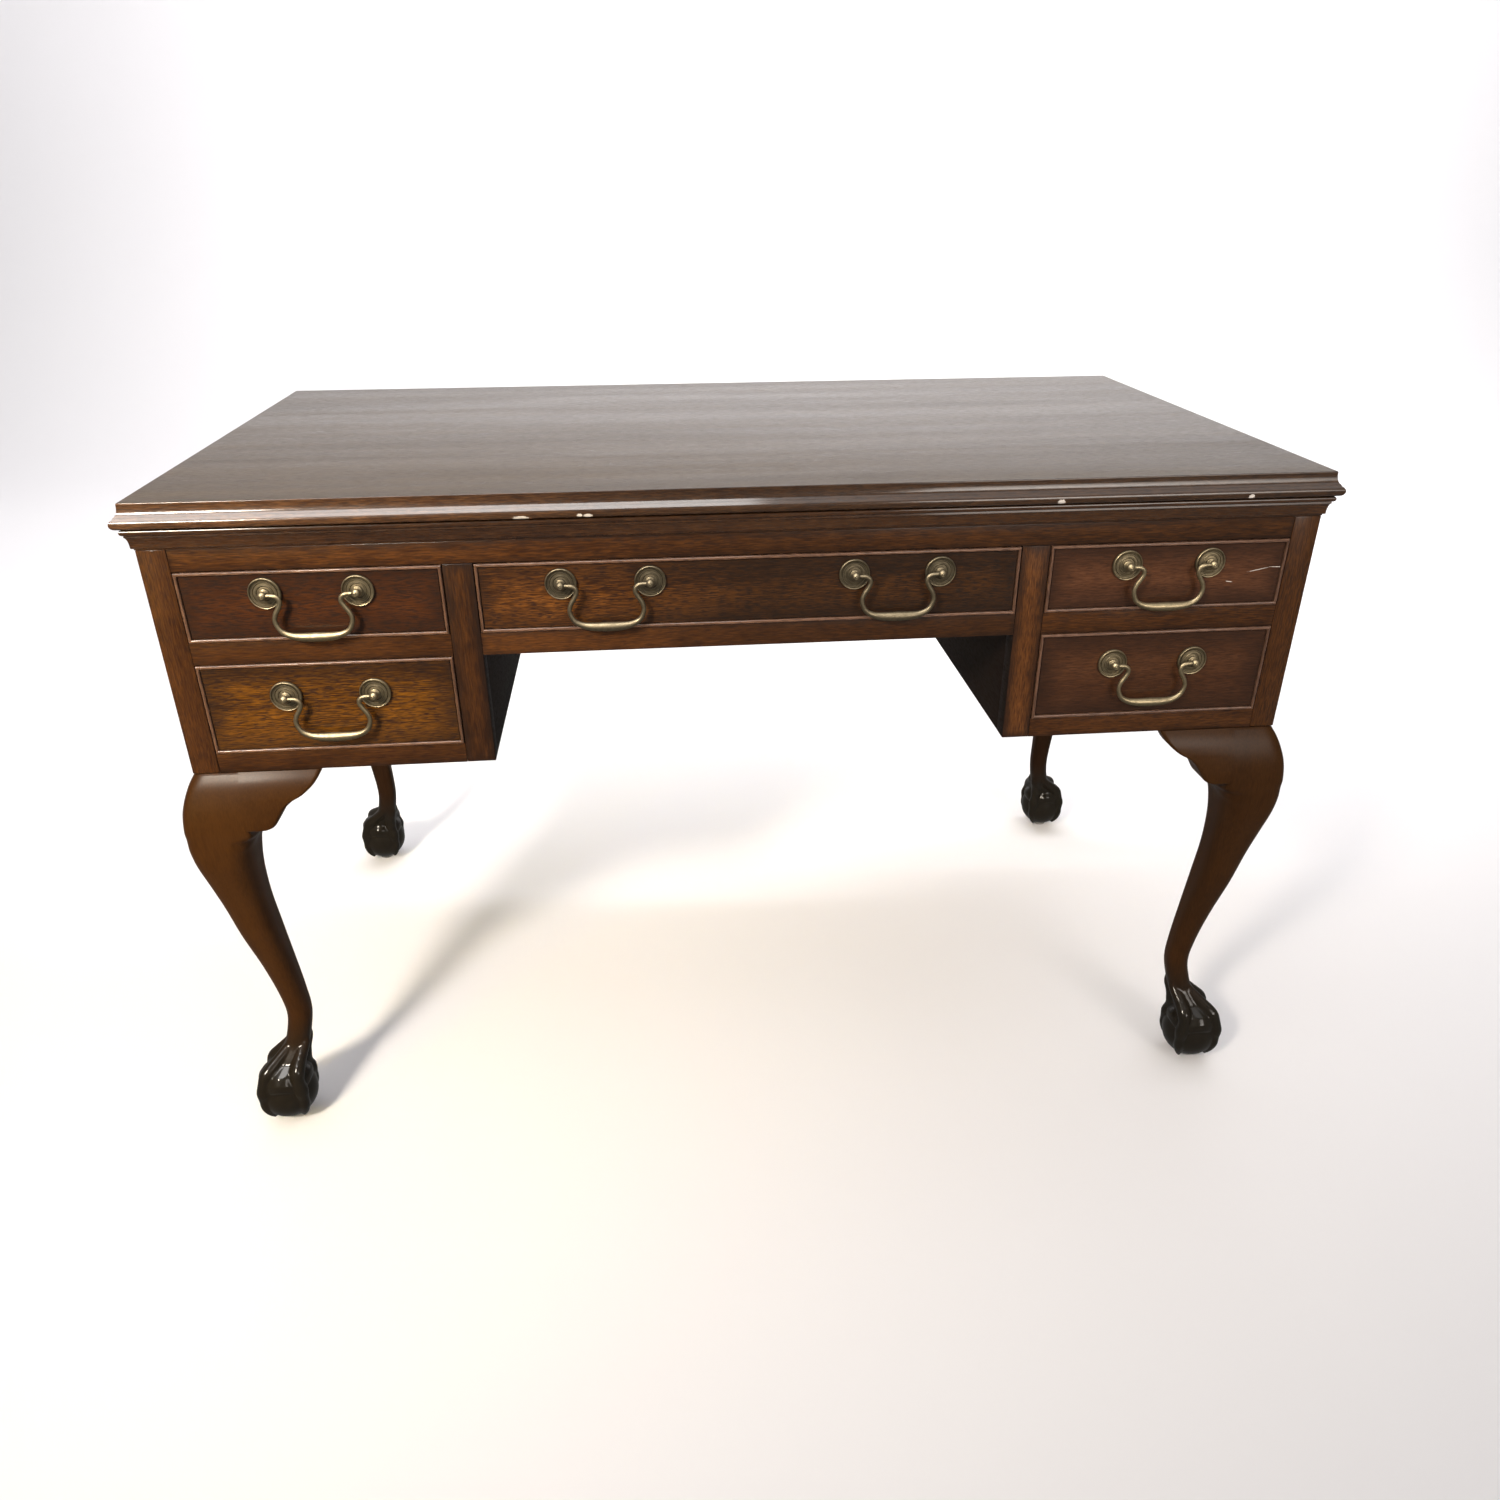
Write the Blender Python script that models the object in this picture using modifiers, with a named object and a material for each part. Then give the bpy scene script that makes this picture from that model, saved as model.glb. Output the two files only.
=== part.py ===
"""Kneehole writing desk with five drawers, swan-neck pulls and four cabriole legs.

Metres, +Z up.  The front faces -Y, and the origin is on the floor under the middle of the desk.
"""
import math

import bmesh
import bpy
from mathutils import Matrix, Vector

# Case
CASE_HALF_WIDTH = 0.590
CASE_HALF_DEPTH = 0.320
LEG_HEIGHT = 0.483
BOTTOM_RAIL_HEIGHT = 0.022
LOWER_OPENING_HEIGHT = 0.0985
MIDDLE_RAIL_HEIGHT = 0.0235
UPPER_OPENING_HEIGHT = 0.0725
TOP_RAIL_HEIGHT = 0.0225
MOULDING_HEIGHT = 0.0215
TOP_THICKNESS = 0.0245
KNEEHOLE_HALF_WIDTH = 0.2766
INNER_STILE_WIDTH = 0.0297
OUTER_POST_WIDTH = 0.028
STILE_DEPTH = 0.022
RAIL_DEPTH = 0.030
PANEL_THICKNESS = 0.018
BACK_THICKNESS = 0.010
BOARD_THICKNESS = 0.010
GUIDE_HEIGHT = 0.012
MOULDING_WIDTH = 0.020
GAP = 0.0003

# Drawers
DRAWER_SIDE_GAP = 0.001
DRAWER_TOP_GAP = 0.0008
DRAWER_BOTTOM_GAP = 0.0005
FRONT_THICKNESS = 0.020
BEAD_WIDTH = 0.0032
BEAD_PROUD = 0.002
BOX_LENGTH = 0.560
BOX_WALL = 0.008
BOX_SIDE_GAP = 0.002
BOX_HEAD_ROOM = 0.010

# Pulls
PULL_CENTRES = 0.0889
PULL_ABOVE_MIDDLE = 0.013
CENTRE_PULL_X = 0.148
PIVOT_PROUD = 0.0105
PIN_RADIUS = 0.0020
PIN_BORE_RADIUS = 0.0025
PIN_BORE_DEPTH = 0.0040
POST_HEAD_RADIUS = 0.0054
GRIP_RADIUS = 0.0039

# Legs
LEG_TOP_WIDTH = 0.048
LEG_SIDES = 16
FOOT_INSET = 0.012
CLAW_DEPTH = 0.0025
GLIDE_RADIUS = 0.011
GLIDE_HEIGHT = 0.004
BRACKET_BACK = 0.013

# Levels, from the floor up
LOWER_BOTTOM = LEG_HEIGHT + BOTTOM_RAIL_HEIGHT
LOWER_TOP = LOWER_BOTTOM + LOWER_OPENING_HEIGHT
UPPER_BOTTOM = LOWER_TOP + MIDDLE_RAIL_HEIGHT
UPPER_TOP = UPPER_BOTTOM + UPPER_OPENING_HEIGHT
CASE_TOP = UPPER_TOP + TOP_RAIL_HEIGHT
TOP_UNDERSIDE = CASE_TOP + MOULDING_HEIGHT

# Places across and along the case
FRONT = -CASE_HALF_DEPTH
STILE_EDGE = KNEEHOLE_HALF_WIDTH + INNER_STILE_WIDTH
POST_EDGE = CASE_HALF_WIDTH - OUTER_POST_WIDTH
KNEEHOLE_WALL = KNEEHOLE_HALF_WIDTH + PANEL_THICKNESS
SIDE_WALL = CASE_HALF_WIDTH - PANEL_THICKNESS
BACK_FACE = CASE_HALF_DEPTH - BACK_THICKNESS
SIDES = {"left": -1.0, "right": 1.0}

# Colours (linear), roughness, metallic
FINISHES = {
    "case_wood": ((0.070, 0.022, 0.009, 1.0), 0.35, 0.0),
    "top_wood": ((0.052, 0.016, 0.008, 1.0), 0.28, 0.0),
    "drawer_wood": ((0.110, 0.036, 0.012, 1.0), 0.33, 0.0),
    "leg_wood": ((0.048, 0.015, 0.007, 1.0), 0.30, 0.0),
    "inner_wood": ((0.200, 0.110, 0.050, 1.0), 0.60, 0.0),
    "brass": ((0.210, 0.150, 0.070, 1.0), 0.38, 1.0),
    "glide": ((0.550, 0.500, 0.420, 1.0), 0.50, 0.0),
}


def clear_scene():
    """Empties the scene before the desk is built."""
    for item in list(bpy.data.objects):
        bpy.data.objects.remove(item, do_unlink=True)


def new_collection(name):
    """Makes a collection in the scene."""
    collection = bpy.data.collections.new(name)
    bpy.context.scene.collection.children.link(collection)
    return collection


def new_material(name, finish):
    """Makes the Principled material of one sub-part from its named finish."""
    color, roughness, metallic = FINISHES[finish]
    material = bpy.data.materials.new(name)
    material.use_nodes = True
    shader = material.node_tree.nodes["Principled BSDF"]
    shader.inputs["Base Color"].default_value = color
    shader.inputs["Roughness"].default_value = roughness
    shader.inputs["Metallic"].default_value = metallic
    material.diffuse_color = color
    return material


def add_part(name, data, finish, parent=None):
    """Adds one sub-part to the desk's collection, with a material of its own."""
    part = bpy.data.objects.new(name, data)
    DESK.objects.link(part)
    part.parent = parent
    data.materials.clear()
    data.materials.append(new_material(name, finish))
    return part


def box_mesh(name, size):
    """A box mesh centred on its origin."""
    model = bmesh.new()
    bmesh.ops.create_cube(model, size=1.0)
    bmesh.ops.scale(model, vec=Vector(size), verts=model.verts)
    mesh = bpy.data.meshes.new(name)
    model.to_mesh(mesh)
    model.free()
    return mesh


def add_box(name, low, high, finish, parent=None):
    """A board between two corners, placed by its middle."""
    low = Vector(low)
    high = Vector(high)
    part = add_part(name, box_mesh(name, high - low), finish, parent)
    part.location = (low + high) / 2
    return part


def add_cutter(name, mesh):
    """A helper solid for a Boolean, hidden from the render."""
    cutter = bpy.data.objects.new(name, mesh)
    CUTTERS.objects.link(cutter)
    cutter.display_type = "WIRE"
    cutter.hide_render = True
    return cutter


def add_boolean(part, cutter, operation):
    """Cuts a part with a helper solid, or joins the two."""
    modifier = part.modifiers.new(cutter.name, "BOOLEAN")
    modifier.operation = operation
    modifier.object = cutter


def join_box(part, name, low, high):
    """Joins a box between two corners to a part."""
    low = Vector(low)
    high = Vector(high)
    block = add_cutter(name, box_mesh(name, high - low))
    block.location = (low + high) / 2
    add_boolean(part, block, "UNION")


def add_outline(name, points, thickness, finish):
    """A flat board cut to an outline in its local XY plane, half its thickness to each side."""
    curve = bpy.data.curves.new(name, "CURVE")
    curve.dimensions = "2D"
    curve.fill_mode = "BOTH"
    curve.extrude = thickness / 2
    spline = curve.splines.new("POLY")
    spline.points.add(len(points) - 1)
    for point, (x, y) in zip(spline.points, points):
        point.co = (x, y, 0.0, 1.0)
    spline.use_cyclic_u = True
    return add_part(name, curve, finish)


def mesh_from_rings(name, rings):
    """Skins a stack of rings with the same number of points and closes both ends."""
    model = bmesh.new()
    loops = [[model.verts.new(point) for point in ring] for ring in rings]
    for lower, upper in zip(loops, loops[1:]):
        for index in range(len(lower)):
            after = (index + 1) % len(lower)
            model.faces.new((lower[index], lower[after], upper[after], upper[index]))
    model.faces.new(reversed(loops[0]))
    model.faces.new(loops[-1])
    bmesh.ops.recalc_face_normals(model, faces=model.faces)
    mesh = bpy.data.meshes.new(name)
    model.to_mesh(mesh)
    model.free()
    return mesh


def rectangle(proud, height):
    """The four corners of the case in plan, grown by proud, at a height."""
    x = CASE_HALF_WIDTH + proud
    y = CASE_HALF_DEPTH + proud
    return [Vector(corner) for corner in ((-x, -y, height), (x, -y, height), (x, y, height), (-x, y, height))]


def add_top_board():
    """The top: a cove runs down and out from the arris to a roll that stands past the case."""
    edge = [(0.0035, 0.0), (0.0045, 0.0010), (0.0045, 0.0022), (0.0052, 0.0070), (0.0080, 0.0125),
            (0.0112, 0.0155), (0.0125, 0.0190), (0.0112, 0.0225), (0.0080, TOP_THICKNESS - GAP)]
    height = TOP_UNDERSIDE + TOP_THICKNESS
    rings = [rectangle(proud, -drop) for proud, drop in reversed(edge)]
    board = add_part("top_board", mesh_from_rings("top_board", rings), "top_wood")
    board.location.z = height


def add_mouldings():
    """Bead and cove under the top: one length on the front and one on each side, mitred together."""
    profile = [(-MOULDING_WIDTH, 0.0), (0.0005, 0.0), (0.0008, 0.0025), (0.0014, 0.0060), (0.0034, 0.0100),
               (0.0046, 0.0128), (0.0046, 0.0142), (0.0062, 0.0152), (0.0075, 0.0180), (0.0062, 0.0205),
               (0.0042, MOULDING_HEIGHT - 2 * GAP), (-MOULDING_WIDTH, MOULDING_HEIGHT - 2 * GAP)]
    height = CASE_TOP + GAP
    left = [Vector((-CASE_HALF_WIDTH - proud + GAP, FRONT - proud, rise)) for proud, rise in profile]
    right = [Vector((-point.x, point.y, point.z)) for point in left]
    front = add_part("moulding_front", mesh_from_rings("moulding_front", [left, right]), "case_wood")
    front.location.z = height
    for side, sign in SIDES.items():
        mitre = [Vector((sign * (CASE_HALF_WIDTH + proud), FRONT - proud + GAP, rise))
                 for proud, rise in profile]
        square = [Vector((point.x, CASE_HALF_DEPTH, point.z)) for point in mitre]
        name = "moulding_" + side
        length = add_part(name, mesh_from_rings(name, [mitre, square]), "case_wood")
        length.location.z = height


def add_frame():
    """The case: outer sides with their front posts, inner stiles, top rail, kneehole sides and back."""
    height = CASE_TOP - LEG_HEIGHT
    for side, sign in SIDES.items():
        plan = [(CASE_HALF_WIDTH, FRONT), (CASE_HALF_WIDTH, CASE_HALF_DEPTH), (SIDE_WALL, CASE_HALF_DEPTH),
                (SIDE_WALL, FRONT + STILE_DEPTH), (POST_EDGE, FRONT + STILE_DEPTH), (POST_EDGE, FRONT)]
        outer = add_outline("side_" + side, [(sign * x, y) for x, y in plan], height, "case_wood")
        outer.location.z = LEG_HEIGHT + height / 2
        stile_x = sorted((sign * KNEEHOLE_HALF_WIDTH, sign * STILE_EDGE))
        add_box("inner_stile_" + side, (stile_x[0], FRONT, LEG_HEIGHT),
                (stile_x[1], FRONT + STILE_DEPTH, UPPER_TOP - GAP), "case_wood")
        wall_x = sorted((sign * KNEEHOLE_HALF_WIDTH, sign * KNEEHOLE_WALL))
        add_box("kneehole_side_" + side, (wall_x[0], FRONT + STILE_DEPTH + GAP, LEG_HEIGHT),
                (wall_x[1], BACK_FACE - GAP, CASE_TOP), "inner_wood")
    add_box("top_rail", (-POST_EDGE + GAP, FRONT, UPPER_TOP),
            (POST_EDGE - GAP, FRONT + STILE_DEPTH, CASE_TOP), "case_wood")
    edge_x = SIDE_WALL - GAP
    foot_x = KNEEHOLE_HALF_WIDTH
    arch = UPPER_BOTTOM - MIDDLE_RAIL_HEIGHT
    cap_x = CASE_HALF_WIDTH - MOULDING_WIDTH - GAP
    half = [(foot_x, arch), (foot_x, LEG_HEIGHT), (edge_x, LEG_HEIGHT), (edge_x, CASE_TOP), (cap_x, CASE_TOP),
            (cap_x, TOP_UNDERSIDE)]
    outline = half + [(-x, z) for x, z in reversed(half)]
    back = add_outline("back_panel", outline, BACK_THICKNESS, "inner_wood")
    back.rotation_euler.x = math.radians(90)
    back.location.y = CASE_HALF_DEPTH - BACK_THICKNESS / 2


def add_drawer_rail(name, rail_x, board_x, bottom, top):
    """A front rail with the board behind it that a drawer runs on, and a guide strip at each side."""
    rail = add_box(name, (rail_x[0] + GAP, FRONT, bottom), (rail_x[1] - GAP, FRONT + RAIL_DEPTH, top),
                   "case_wood")
    board_top = top - GAP
    board_start = FRONT + STILE_DEPTH + GAP
    board_end = BACK_FACE - GAP
    if board_x == rail_x:
        board_start = FRONT + STILE_DEPTH
    join_box(rail, name + "_board", (board_x[0] + GAP, board_start, board_top - BOARD_THICKNESS),
             (board_x[1] - GAP, board_end, board_top))
    if board_x == rail_x:
        return
    guides = [(board_x[0] + GAP, rail_x[0]), (rail_x[1], board_x[1] - GAP)]
    for number, (low, high) in enumerate(guides, 1):
        join_box(rail, "%s_guide_%d" % (name, number),
                 (low, board_start + RAIL_DEPTH, board_top - BOARD_THICKNESS / 2),
                 (high, board_end, board_top + GUIDE_HEIGHT))


def add_drawer_rails():
    """The rails and boards under every drawer."""
    for side, sign in SIDES.items():
        rail_x = sorted((sign * STILE_EDGE, sign * POST_EDGE))
        board_x = sorted((sign * KNEEHOLE_WALL, sign * SIDE_WALL))
        add_drawer_rail("drawer_divider_" + side, rail_x, board_x, LOWER_TOP, UPPER_BOTTOM)
        add_drawer_rail("pedestal_bottom_" + side, rail_x, board_x, LEG_HEIGHT, LOWER_BOTTOM)
    centre_x = [-KNEEHOLE_HALF_WIDTH, KNEEHOLE_HALF_WIDTH]
    add_drawer_rail("centre_rail", centre_x, centre_x, LOWER_TOP, UPPER_BOTTOM)


def drawer_front_mesh(name, width, height):
    """A drawer front whose cock bead stands proud of the field all round."""
    depth = FRONT_THICKNESS + BEAD_PROUD
    model = bmesh.new()
    bmesh.ops.create_cube(model, size=1.0)
    bmesh.ops.scale(model, vec=(width, depth, height), verts=model.verts)
    field = [face for face in model.faces if face.normal.y < -0.5]
    bmesh.ops.inset_region(model, faces=field, thickness=BEAD_WIDTH, depth=-BEAD_PROUD)
    mesh = bpy.data.meshes.new(name)
    model.to_mesh(mesh)
    model.free()
    return mesh


def add_drawer_box(name, low, high, parent):
    """The sides, back and bottom of a drawer, open at the top and at the front."""
    size = high - low
    model = bmesh.new()
    bmesh.ops.create_cube(model, size=1.0)
    bmesh.ops.scale(model, vec=size, verts=model.verts)
    open_faces = [face for face in model.faces if face.normal.z > 0.5 or face.normal.y < -0.5]
    bmesh.ops.delete(model, geom=open_faces, context="FACES")
    mesh = bpy.data.meshes.new(name)
    model.to_mesh(mesh)
    model.free()
    box = add_part(name, mesh, "inner_wood", parent)
    box.location = (low + high) / 2
    wall = box.modifiers.new("wall", "SOLIDIFY")
    wall.thickness = BOX_WALL
    wall.offset = -1.0
    wall.use_even_offset = True


def post_mesh():
    """A turned post on a ringed rosette, its axis along local Z, bored across for the bail's pin."""
    profile = [(0.0, 0.0150), (0.0030, 0.0146), (0.0048, 0.0130), (POST_HEAD_RADIUS, PIVOT_PROUD),
               (0.0046, 0.0078), (0.0034, 0.0064), (0.0052, 0.0048), (0.0066, 0.0036), (0.0112, 0.0026),
               (0.0148, 0.0032), (0.0158, 0.0022), (0.0158, GAP), (0.0, GAP)]
    mesh = bpy.data.meshes.new("post_profile")
    edges = [(index, index + 1) for index in range(len(profile) - 1)]
    mesh.from_pydata([(radius, 0.0, height) for radius, height in profile], edges, [])
    turned = bpy.data.objects.new("post_profile", mesh)
    CUTTERS.objects.link(turned)
    screw = turned.modifiers.new("turn", "SCREW")
    screw.steps = 16
    screw.render_steps = 16
    screw.use_merge_vertices = True
    screw.merge_threshold = 0.00005
    bore = bmesh.new()
    bmesh.ops.create_cone(bore, cap_ends=True, segments=12, radius1=PIN_BORE_RADIUS, radius2=PIN_BORE_RADIUS,
                          depth=2 * PIN_BORE_DEPTH)
    bmesh.ops.rotate(bore, verts=bore.verts, matrix=Matrix.Rotation(math.radians(90), 3, "Y"))
    bmesh.ops.translate(bore, verts=bore.verts, vec=(POST_HEAD_RADIUS, 0.0, PIVOT_PROUD))
    bore_mesh = bpy.data.meshes.new("pin_bore")
    bore.to_mesh(bore_mesh)
    bore.free()
    cutter = add_cutter("pin_bore", bore_mesh)
    add_boolean(turned, cutter, "DIFFERENCE")
    evaluated = turned.evaluated_get(bpy.context.evaluated_depsgraph_get())
    post = bpy.data.meshes.new_from_object(evaluated)
    bpy.data.objects.remove(turned)
    bpy.data.objects.remove(cutter)
    return post


def bail_curve(name):
    """A swan-neck bail: each pin turns in a post, curls in, swings out and drops to a thicker grip."""
    half = [(0.0422, 0.0, PIN_RADIUS), (0.0382, 0.0, PIN_RADIUS), (0.0335, -0.0006, 0.0023),
            (0.0300, -0.0030, 0.0024), (0.0292, -0.0075, 0.0024), (0.0318, -0.0130, 0.0024),
            (0.0352, -0.0185, 0.0024), (0.0368, -0.0245, 0.0024), (0.0356, -0.0305, 0.0025),
            (0.0315, -0.0366, 0.0028), (0.0245, -0.0412, 0.0032), (0.0150, -0.0437, 0.0036)]
    path = half + [(0.0, -0.0445, GRIP_RADIUS)] + [(-x, z, radius) for x, z, radius in reversed(half)]
    curve = bpy.data.curves.new(name, "CURVE")
    curve.dimensions = "3D"
    curve.bevel_depth = 1.0
    curve.bevel_resolution = 2
    curve.use_fill_caps = True
    spline = curve.splines.new("POLY")
    spline.points.add(len(path) - 1)
    for point, (x, z, radius) in zip(spline.points, path):
        point.co = (x, 0.0, z, 1.0)
        point.radius = radius
    return curve


def add_pull(name, x, height, parent, post):
    """Two posts on the drawer front and the bail that swings between them."""
    for side, sign in SIDES.items():
        piece = add_part("post_%s_%s" % (name, side), post.copy(), "brass", parent)
        piece.location = (x + sign * PULL_CENTRES / 2, FRONT, height)
        piece.rotation_euler = (math.radians(90), math.radians(180) if sign > 0 else 0.0, 0.0)
    bail = add_part("bail_" + name, bail_curve("bail_" + name), "brass", parent)
    bail.location = (x, FRONT - PIVOT_PROUD, height)


def add_drawer(name, low_x, high_x, bottom, top, pulls, post):
    """One drawer: its front, its box and its pulls, all parented to an empty that slides along Y."""
    slide = bpy.data.objects.new("drawer_" + name, None)
    DESK.objects.link(slide)
    front_low = Vector((low_x + DRAWER_SIDE_GAP, FRONT - BEAD_PROUD, bottom + DRAWER_BOTTOM_GAP))
    front_high = Vector((high_x - DRAWER_SIDE_GAP, FRONT + FRONT_THICKNESS, top - DRAWER_TOP_GAP))
    size = front_high - front_low
    front_name = "drawer_front_" + name
    front = add_part(front_name, drawer_front_mesh(front_name, size.x, size.z), "drawer_wood", slide)
    front.location = (front_low + front_high) / 2
    box_low = Vector((low_x + BOX_SIDE_GAP, FRONT + FRONT_THICKNESS + GAP, bottom + DRAWER_BOTTOM_GAP))
    box_high = Vector((high_x - BOX_SIDE_GAP, FRONT + FRONT_THICKNESS + BOX_LENGTH, top - BOX_HEAD_ROOM))
    add_drawer_box("drawer_box_" + name, box_low, box_high, slide)
    for pull_name, x in pulls.items():
        add_pull(pull_name, x, (bottom + top) / 2 + PULL_ABOVE_MIDDLE, slide, post)


def add_drawers():
    """The wide centre drawer and the upper and lower drawer of each pedestal."""
    post = post_mesh()
    centre_pulls = {"centre_left": -CENTRE_PULL_X, "centre_right": CENTRE_PULL_X}
    add_drawer("centre", -KNEEHOLE_HALF_WIDTH, KNEEHOLE_HALF_WIDTH, UPPER_BOTTOM, UPPER_TOP,
               centre_pulls, post)
    for side, sign in SIDES.items():
        low_x, high_x = sorted((sign * STILE_EDGE, sign * POST_EDGE))
        middle = (low_x + high_x) / 2
        upper = "upper_" + side
        lower = "lower_" + side
        add_drawer(upper, low_x, high_x, UPPER_BOTTOM, UPPER_TOP, {upper: middle}, post)
        add_drawer(lower, low_x, high_x, LOWER_BOTTOM, LOWER_TOP, {lower: middle}, post)


def rounded_ring(centre, radius, squareness, height, lobes=0.0):
    """A ring between a circle (squareness 2) and a square, with four lobes for the claws."""
    ring = []
    for index in range(LEG_SIDES):
        angle = math.tau * index / LEG_SIDES
        x = math.cos(angle)
        y = math.sin(angle)
        reach = (abs(x) ** squareness + abs(y) ** squareness) ** (-1 / squareness)
        reach = radius * reach + lobes * math.cos(4 * (angle - math.radians(45)))
        ring.append(Vector((centre + reach * x, -centre + reach * y, height)))
    return ring


def leg_mesh():
    """A right front leg below the case corner at the origin; it is symmetric about its diagonal.

    Each section gives how far the leg stands outside the case corner and how far it reaches inside it,
    at a height, and how square it is there.
    """
    foot_rings = [(0.0, 0.022), (0.006, 0.029), (0.018, 0.0345), (0.032, 0.0365), (0.047, 0.0345),
                  (0.062, 0.0280)]
    rings = [rounded_ring(-FOOT_INSET, radius, 2.0, GLIDE_HEIGHT + height, CLAW_DEPTH if height else 0.0)
             for height, radius in foot_rings]
    sections = [(0.078, 0.004, 0.0345, 2.2), (0.090, -0.0075, 0.0385, 2.0), (0.106, -0.0165, 0.0450, 2.0),
                (0.136, -0.0220, 0.0500, 2.0), (0.172, -0.0190, 0.0490, 2.0), (0.219, -0.0110, 0.0460, 2.1),
                (0.269, -0.0005, 0.0425, 2.3), (0.313, 0.0070, 0.0400, 2.5), (0.348, 0.0140, 0.0400, 2.8),
                (0.375, 0.0195, 0.0420, 3.2), (0.398, 0.0220, 0.0450, 4.0),
                (0.421, 0.0220, LEG_TOP_WIDTH, 5.0), (0.445, 0.0175, LEG_TOP_WIDTH, 6.0),
                (0.467, 0.0095, LEG_TOP_WIDTH, 6.0),
                (LEG_HEIGHT - GAP, 0.0005, LEG_TOP_WIDTH, 6.0)]
    for height, proud, inside, squareness in sections:
        rings.append(rounded_ring((proud - inside) / 2, (proud + inside) / 2, squareness, height))
    return mesh_from_rings("leg", rings)


def glide_mesh():
    """A round glide, standing on the floor."""
    model = bmesh.new()
    height = GLIDE_HEIGHT - GAP
    bmesh.ops.create_cone(model, cap_ends=True, segments=20, radius1=GLIDE_RADIUS, radius2=GLIDE_RADIUS,
                          depth=height)
    bmesh.ops.translate(model, verts=model.verts, vec=(-FOOT_INSET, FOOT_INSET, height / 2))
    mesh = bpy.data.meshes.new("glide")
    model.to_mesh(mesh)
    model.free()
    return mesh


def add_legs():
    """A leg and its glide at each corner: the same leg, turned so its knee faces out."""
    leg = leg_mesh()
    glide = glide_mesh()
    turns = {("front", "right"): 0, ("rear", "right"): 90, ("rear", "left"): 180, ("front", "left"): 270}
    for (end, side), turn in turns.items():
        y = FRONT if end == "front" else CASE_HALF_DEPTH
        place = "%s_%s" % (end, side)
        for name, mesh, finish in (("leg_", leg, "leg_wood"), ("glide_", glide, "glide")):
            piece = add_part(name + place, mesh.copy(), finish)
            piece.location = (SIDES[side] * CASE_HALF_WIDTH, y, 0.0)
            piece.rotation_euler.z = math.radians(turn)


def bracket_mesh(corner, along, out):
    """A bracket beside the leg under a case corner, reaching one way from there and facing the other.

    Each level gives its drop below the case, how far it reaches, and how far it stands out from the case.
    """
    levels = [(0.0615, 0.0640, 0.0214), (0.0610, 0.0715, 0.0214), (0.0577, 0.0776, 0.0213),
              (0.0525, 0.0818, 0.0210), (0.0473, 0.0849, 0.0204), (0.0408, 0.0891, 0.0190),
              (0.0356, 0.0935, 0.0178), (0.0300, 0.1007, 0.0162), (0.0252, 0.1103, 0.0146),
              (0.0161, 0.1216, 0.0110), (0.0080, 0.1281, 0.0068), (0.0, 0.1320, 0.0010)]
    start = LEG_TOP_WIDTH + GAP
    rings = []
    for drop, reach, proud in levels:
        level = corner + Vector((0.0, 0.0, LEG_HEIGHT - GAP - drop))
        root = level + along * start
        tip = level + along * reach
        rings.append([root + out * proud, tip + out * proud, tip - out * BRACKET_BACK,
                      root - out * BRACKET_BACK])
    return mesh_from_rings("bracket", rings)


def add_knee_brackets():
    """Ogee brackets beside the knees: the front legs have one each way, the rear legs one forward."""
    forward = Vector((0.0, -1.0, 0.0))
    for side, sign in SIDES.items():
        outward = Vector((sign, 0.0, 0.0))
        front_corner = Vector((sign * CASE_HALF_WIDTH, FRONT, 0.0))
        rear_corner = Vector((sign * CASE_HALF_WIDTH, CASE_HALF_DEPTH, 0.0))
        add_part("bracket_front_" + side, bracket_mesh(front_corner, -outward, forward), "leg_wood")
        add_part("bracket_front_side_" + side, bracket_mesh(front_corner, -forward, outward), "leg_wood")
        add_part("bracket_rear_side_" + side, bracket_mesh(rear_corner, forward, outward), "leg_wood")


clear_scene()
DESK = new_collection("writing_desk")
CUTTERS = new_collection("cutters")
add_top_board()
add_mouldings()
add_frame()
add_drawer_rails()
add_drawers()
add_legs()
add_knee_brackets()
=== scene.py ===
"""Looks of a mahogany kneehole desk with claw-and-ball feet, cock-beaded drawers and swan-neck pulls.

Metres, +Z up, the front towards -Y.  Each section makes one group of pieces, in the order of assembly.
"""

import math

import bmesh
import bpy
from mathutils import Matrix, Vector


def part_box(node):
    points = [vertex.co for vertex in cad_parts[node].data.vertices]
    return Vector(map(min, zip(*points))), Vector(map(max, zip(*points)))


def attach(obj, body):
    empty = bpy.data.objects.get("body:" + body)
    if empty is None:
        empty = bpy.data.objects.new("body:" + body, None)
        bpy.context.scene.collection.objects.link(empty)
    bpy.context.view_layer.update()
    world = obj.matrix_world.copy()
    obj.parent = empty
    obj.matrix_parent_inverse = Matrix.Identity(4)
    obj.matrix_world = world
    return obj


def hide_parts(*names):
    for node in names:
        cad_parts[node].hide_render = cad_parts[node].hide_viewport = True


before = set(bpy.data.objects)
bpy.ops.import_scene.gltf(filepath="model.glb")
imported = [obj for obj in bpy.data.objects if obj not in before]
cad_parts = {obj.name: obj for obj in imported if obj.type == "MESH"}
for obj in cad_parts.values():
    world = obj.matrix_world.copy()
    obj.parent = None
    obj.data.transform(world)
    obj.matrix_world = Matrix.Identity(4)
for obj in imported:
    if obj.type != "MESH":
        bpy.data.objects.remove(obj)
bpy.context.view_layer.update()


# ---------------------------------------------------------------------------------------------------
# Legs.  Cabriole legs, each carved from one block of mahogany: a square top under the case corner, a
# swelling knee, a slim ankle, and four knuckled claws over a ball.  The polish turns black at the foot,
# and the rear pair is painted darker all over, as the shade under the desk.

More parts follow.
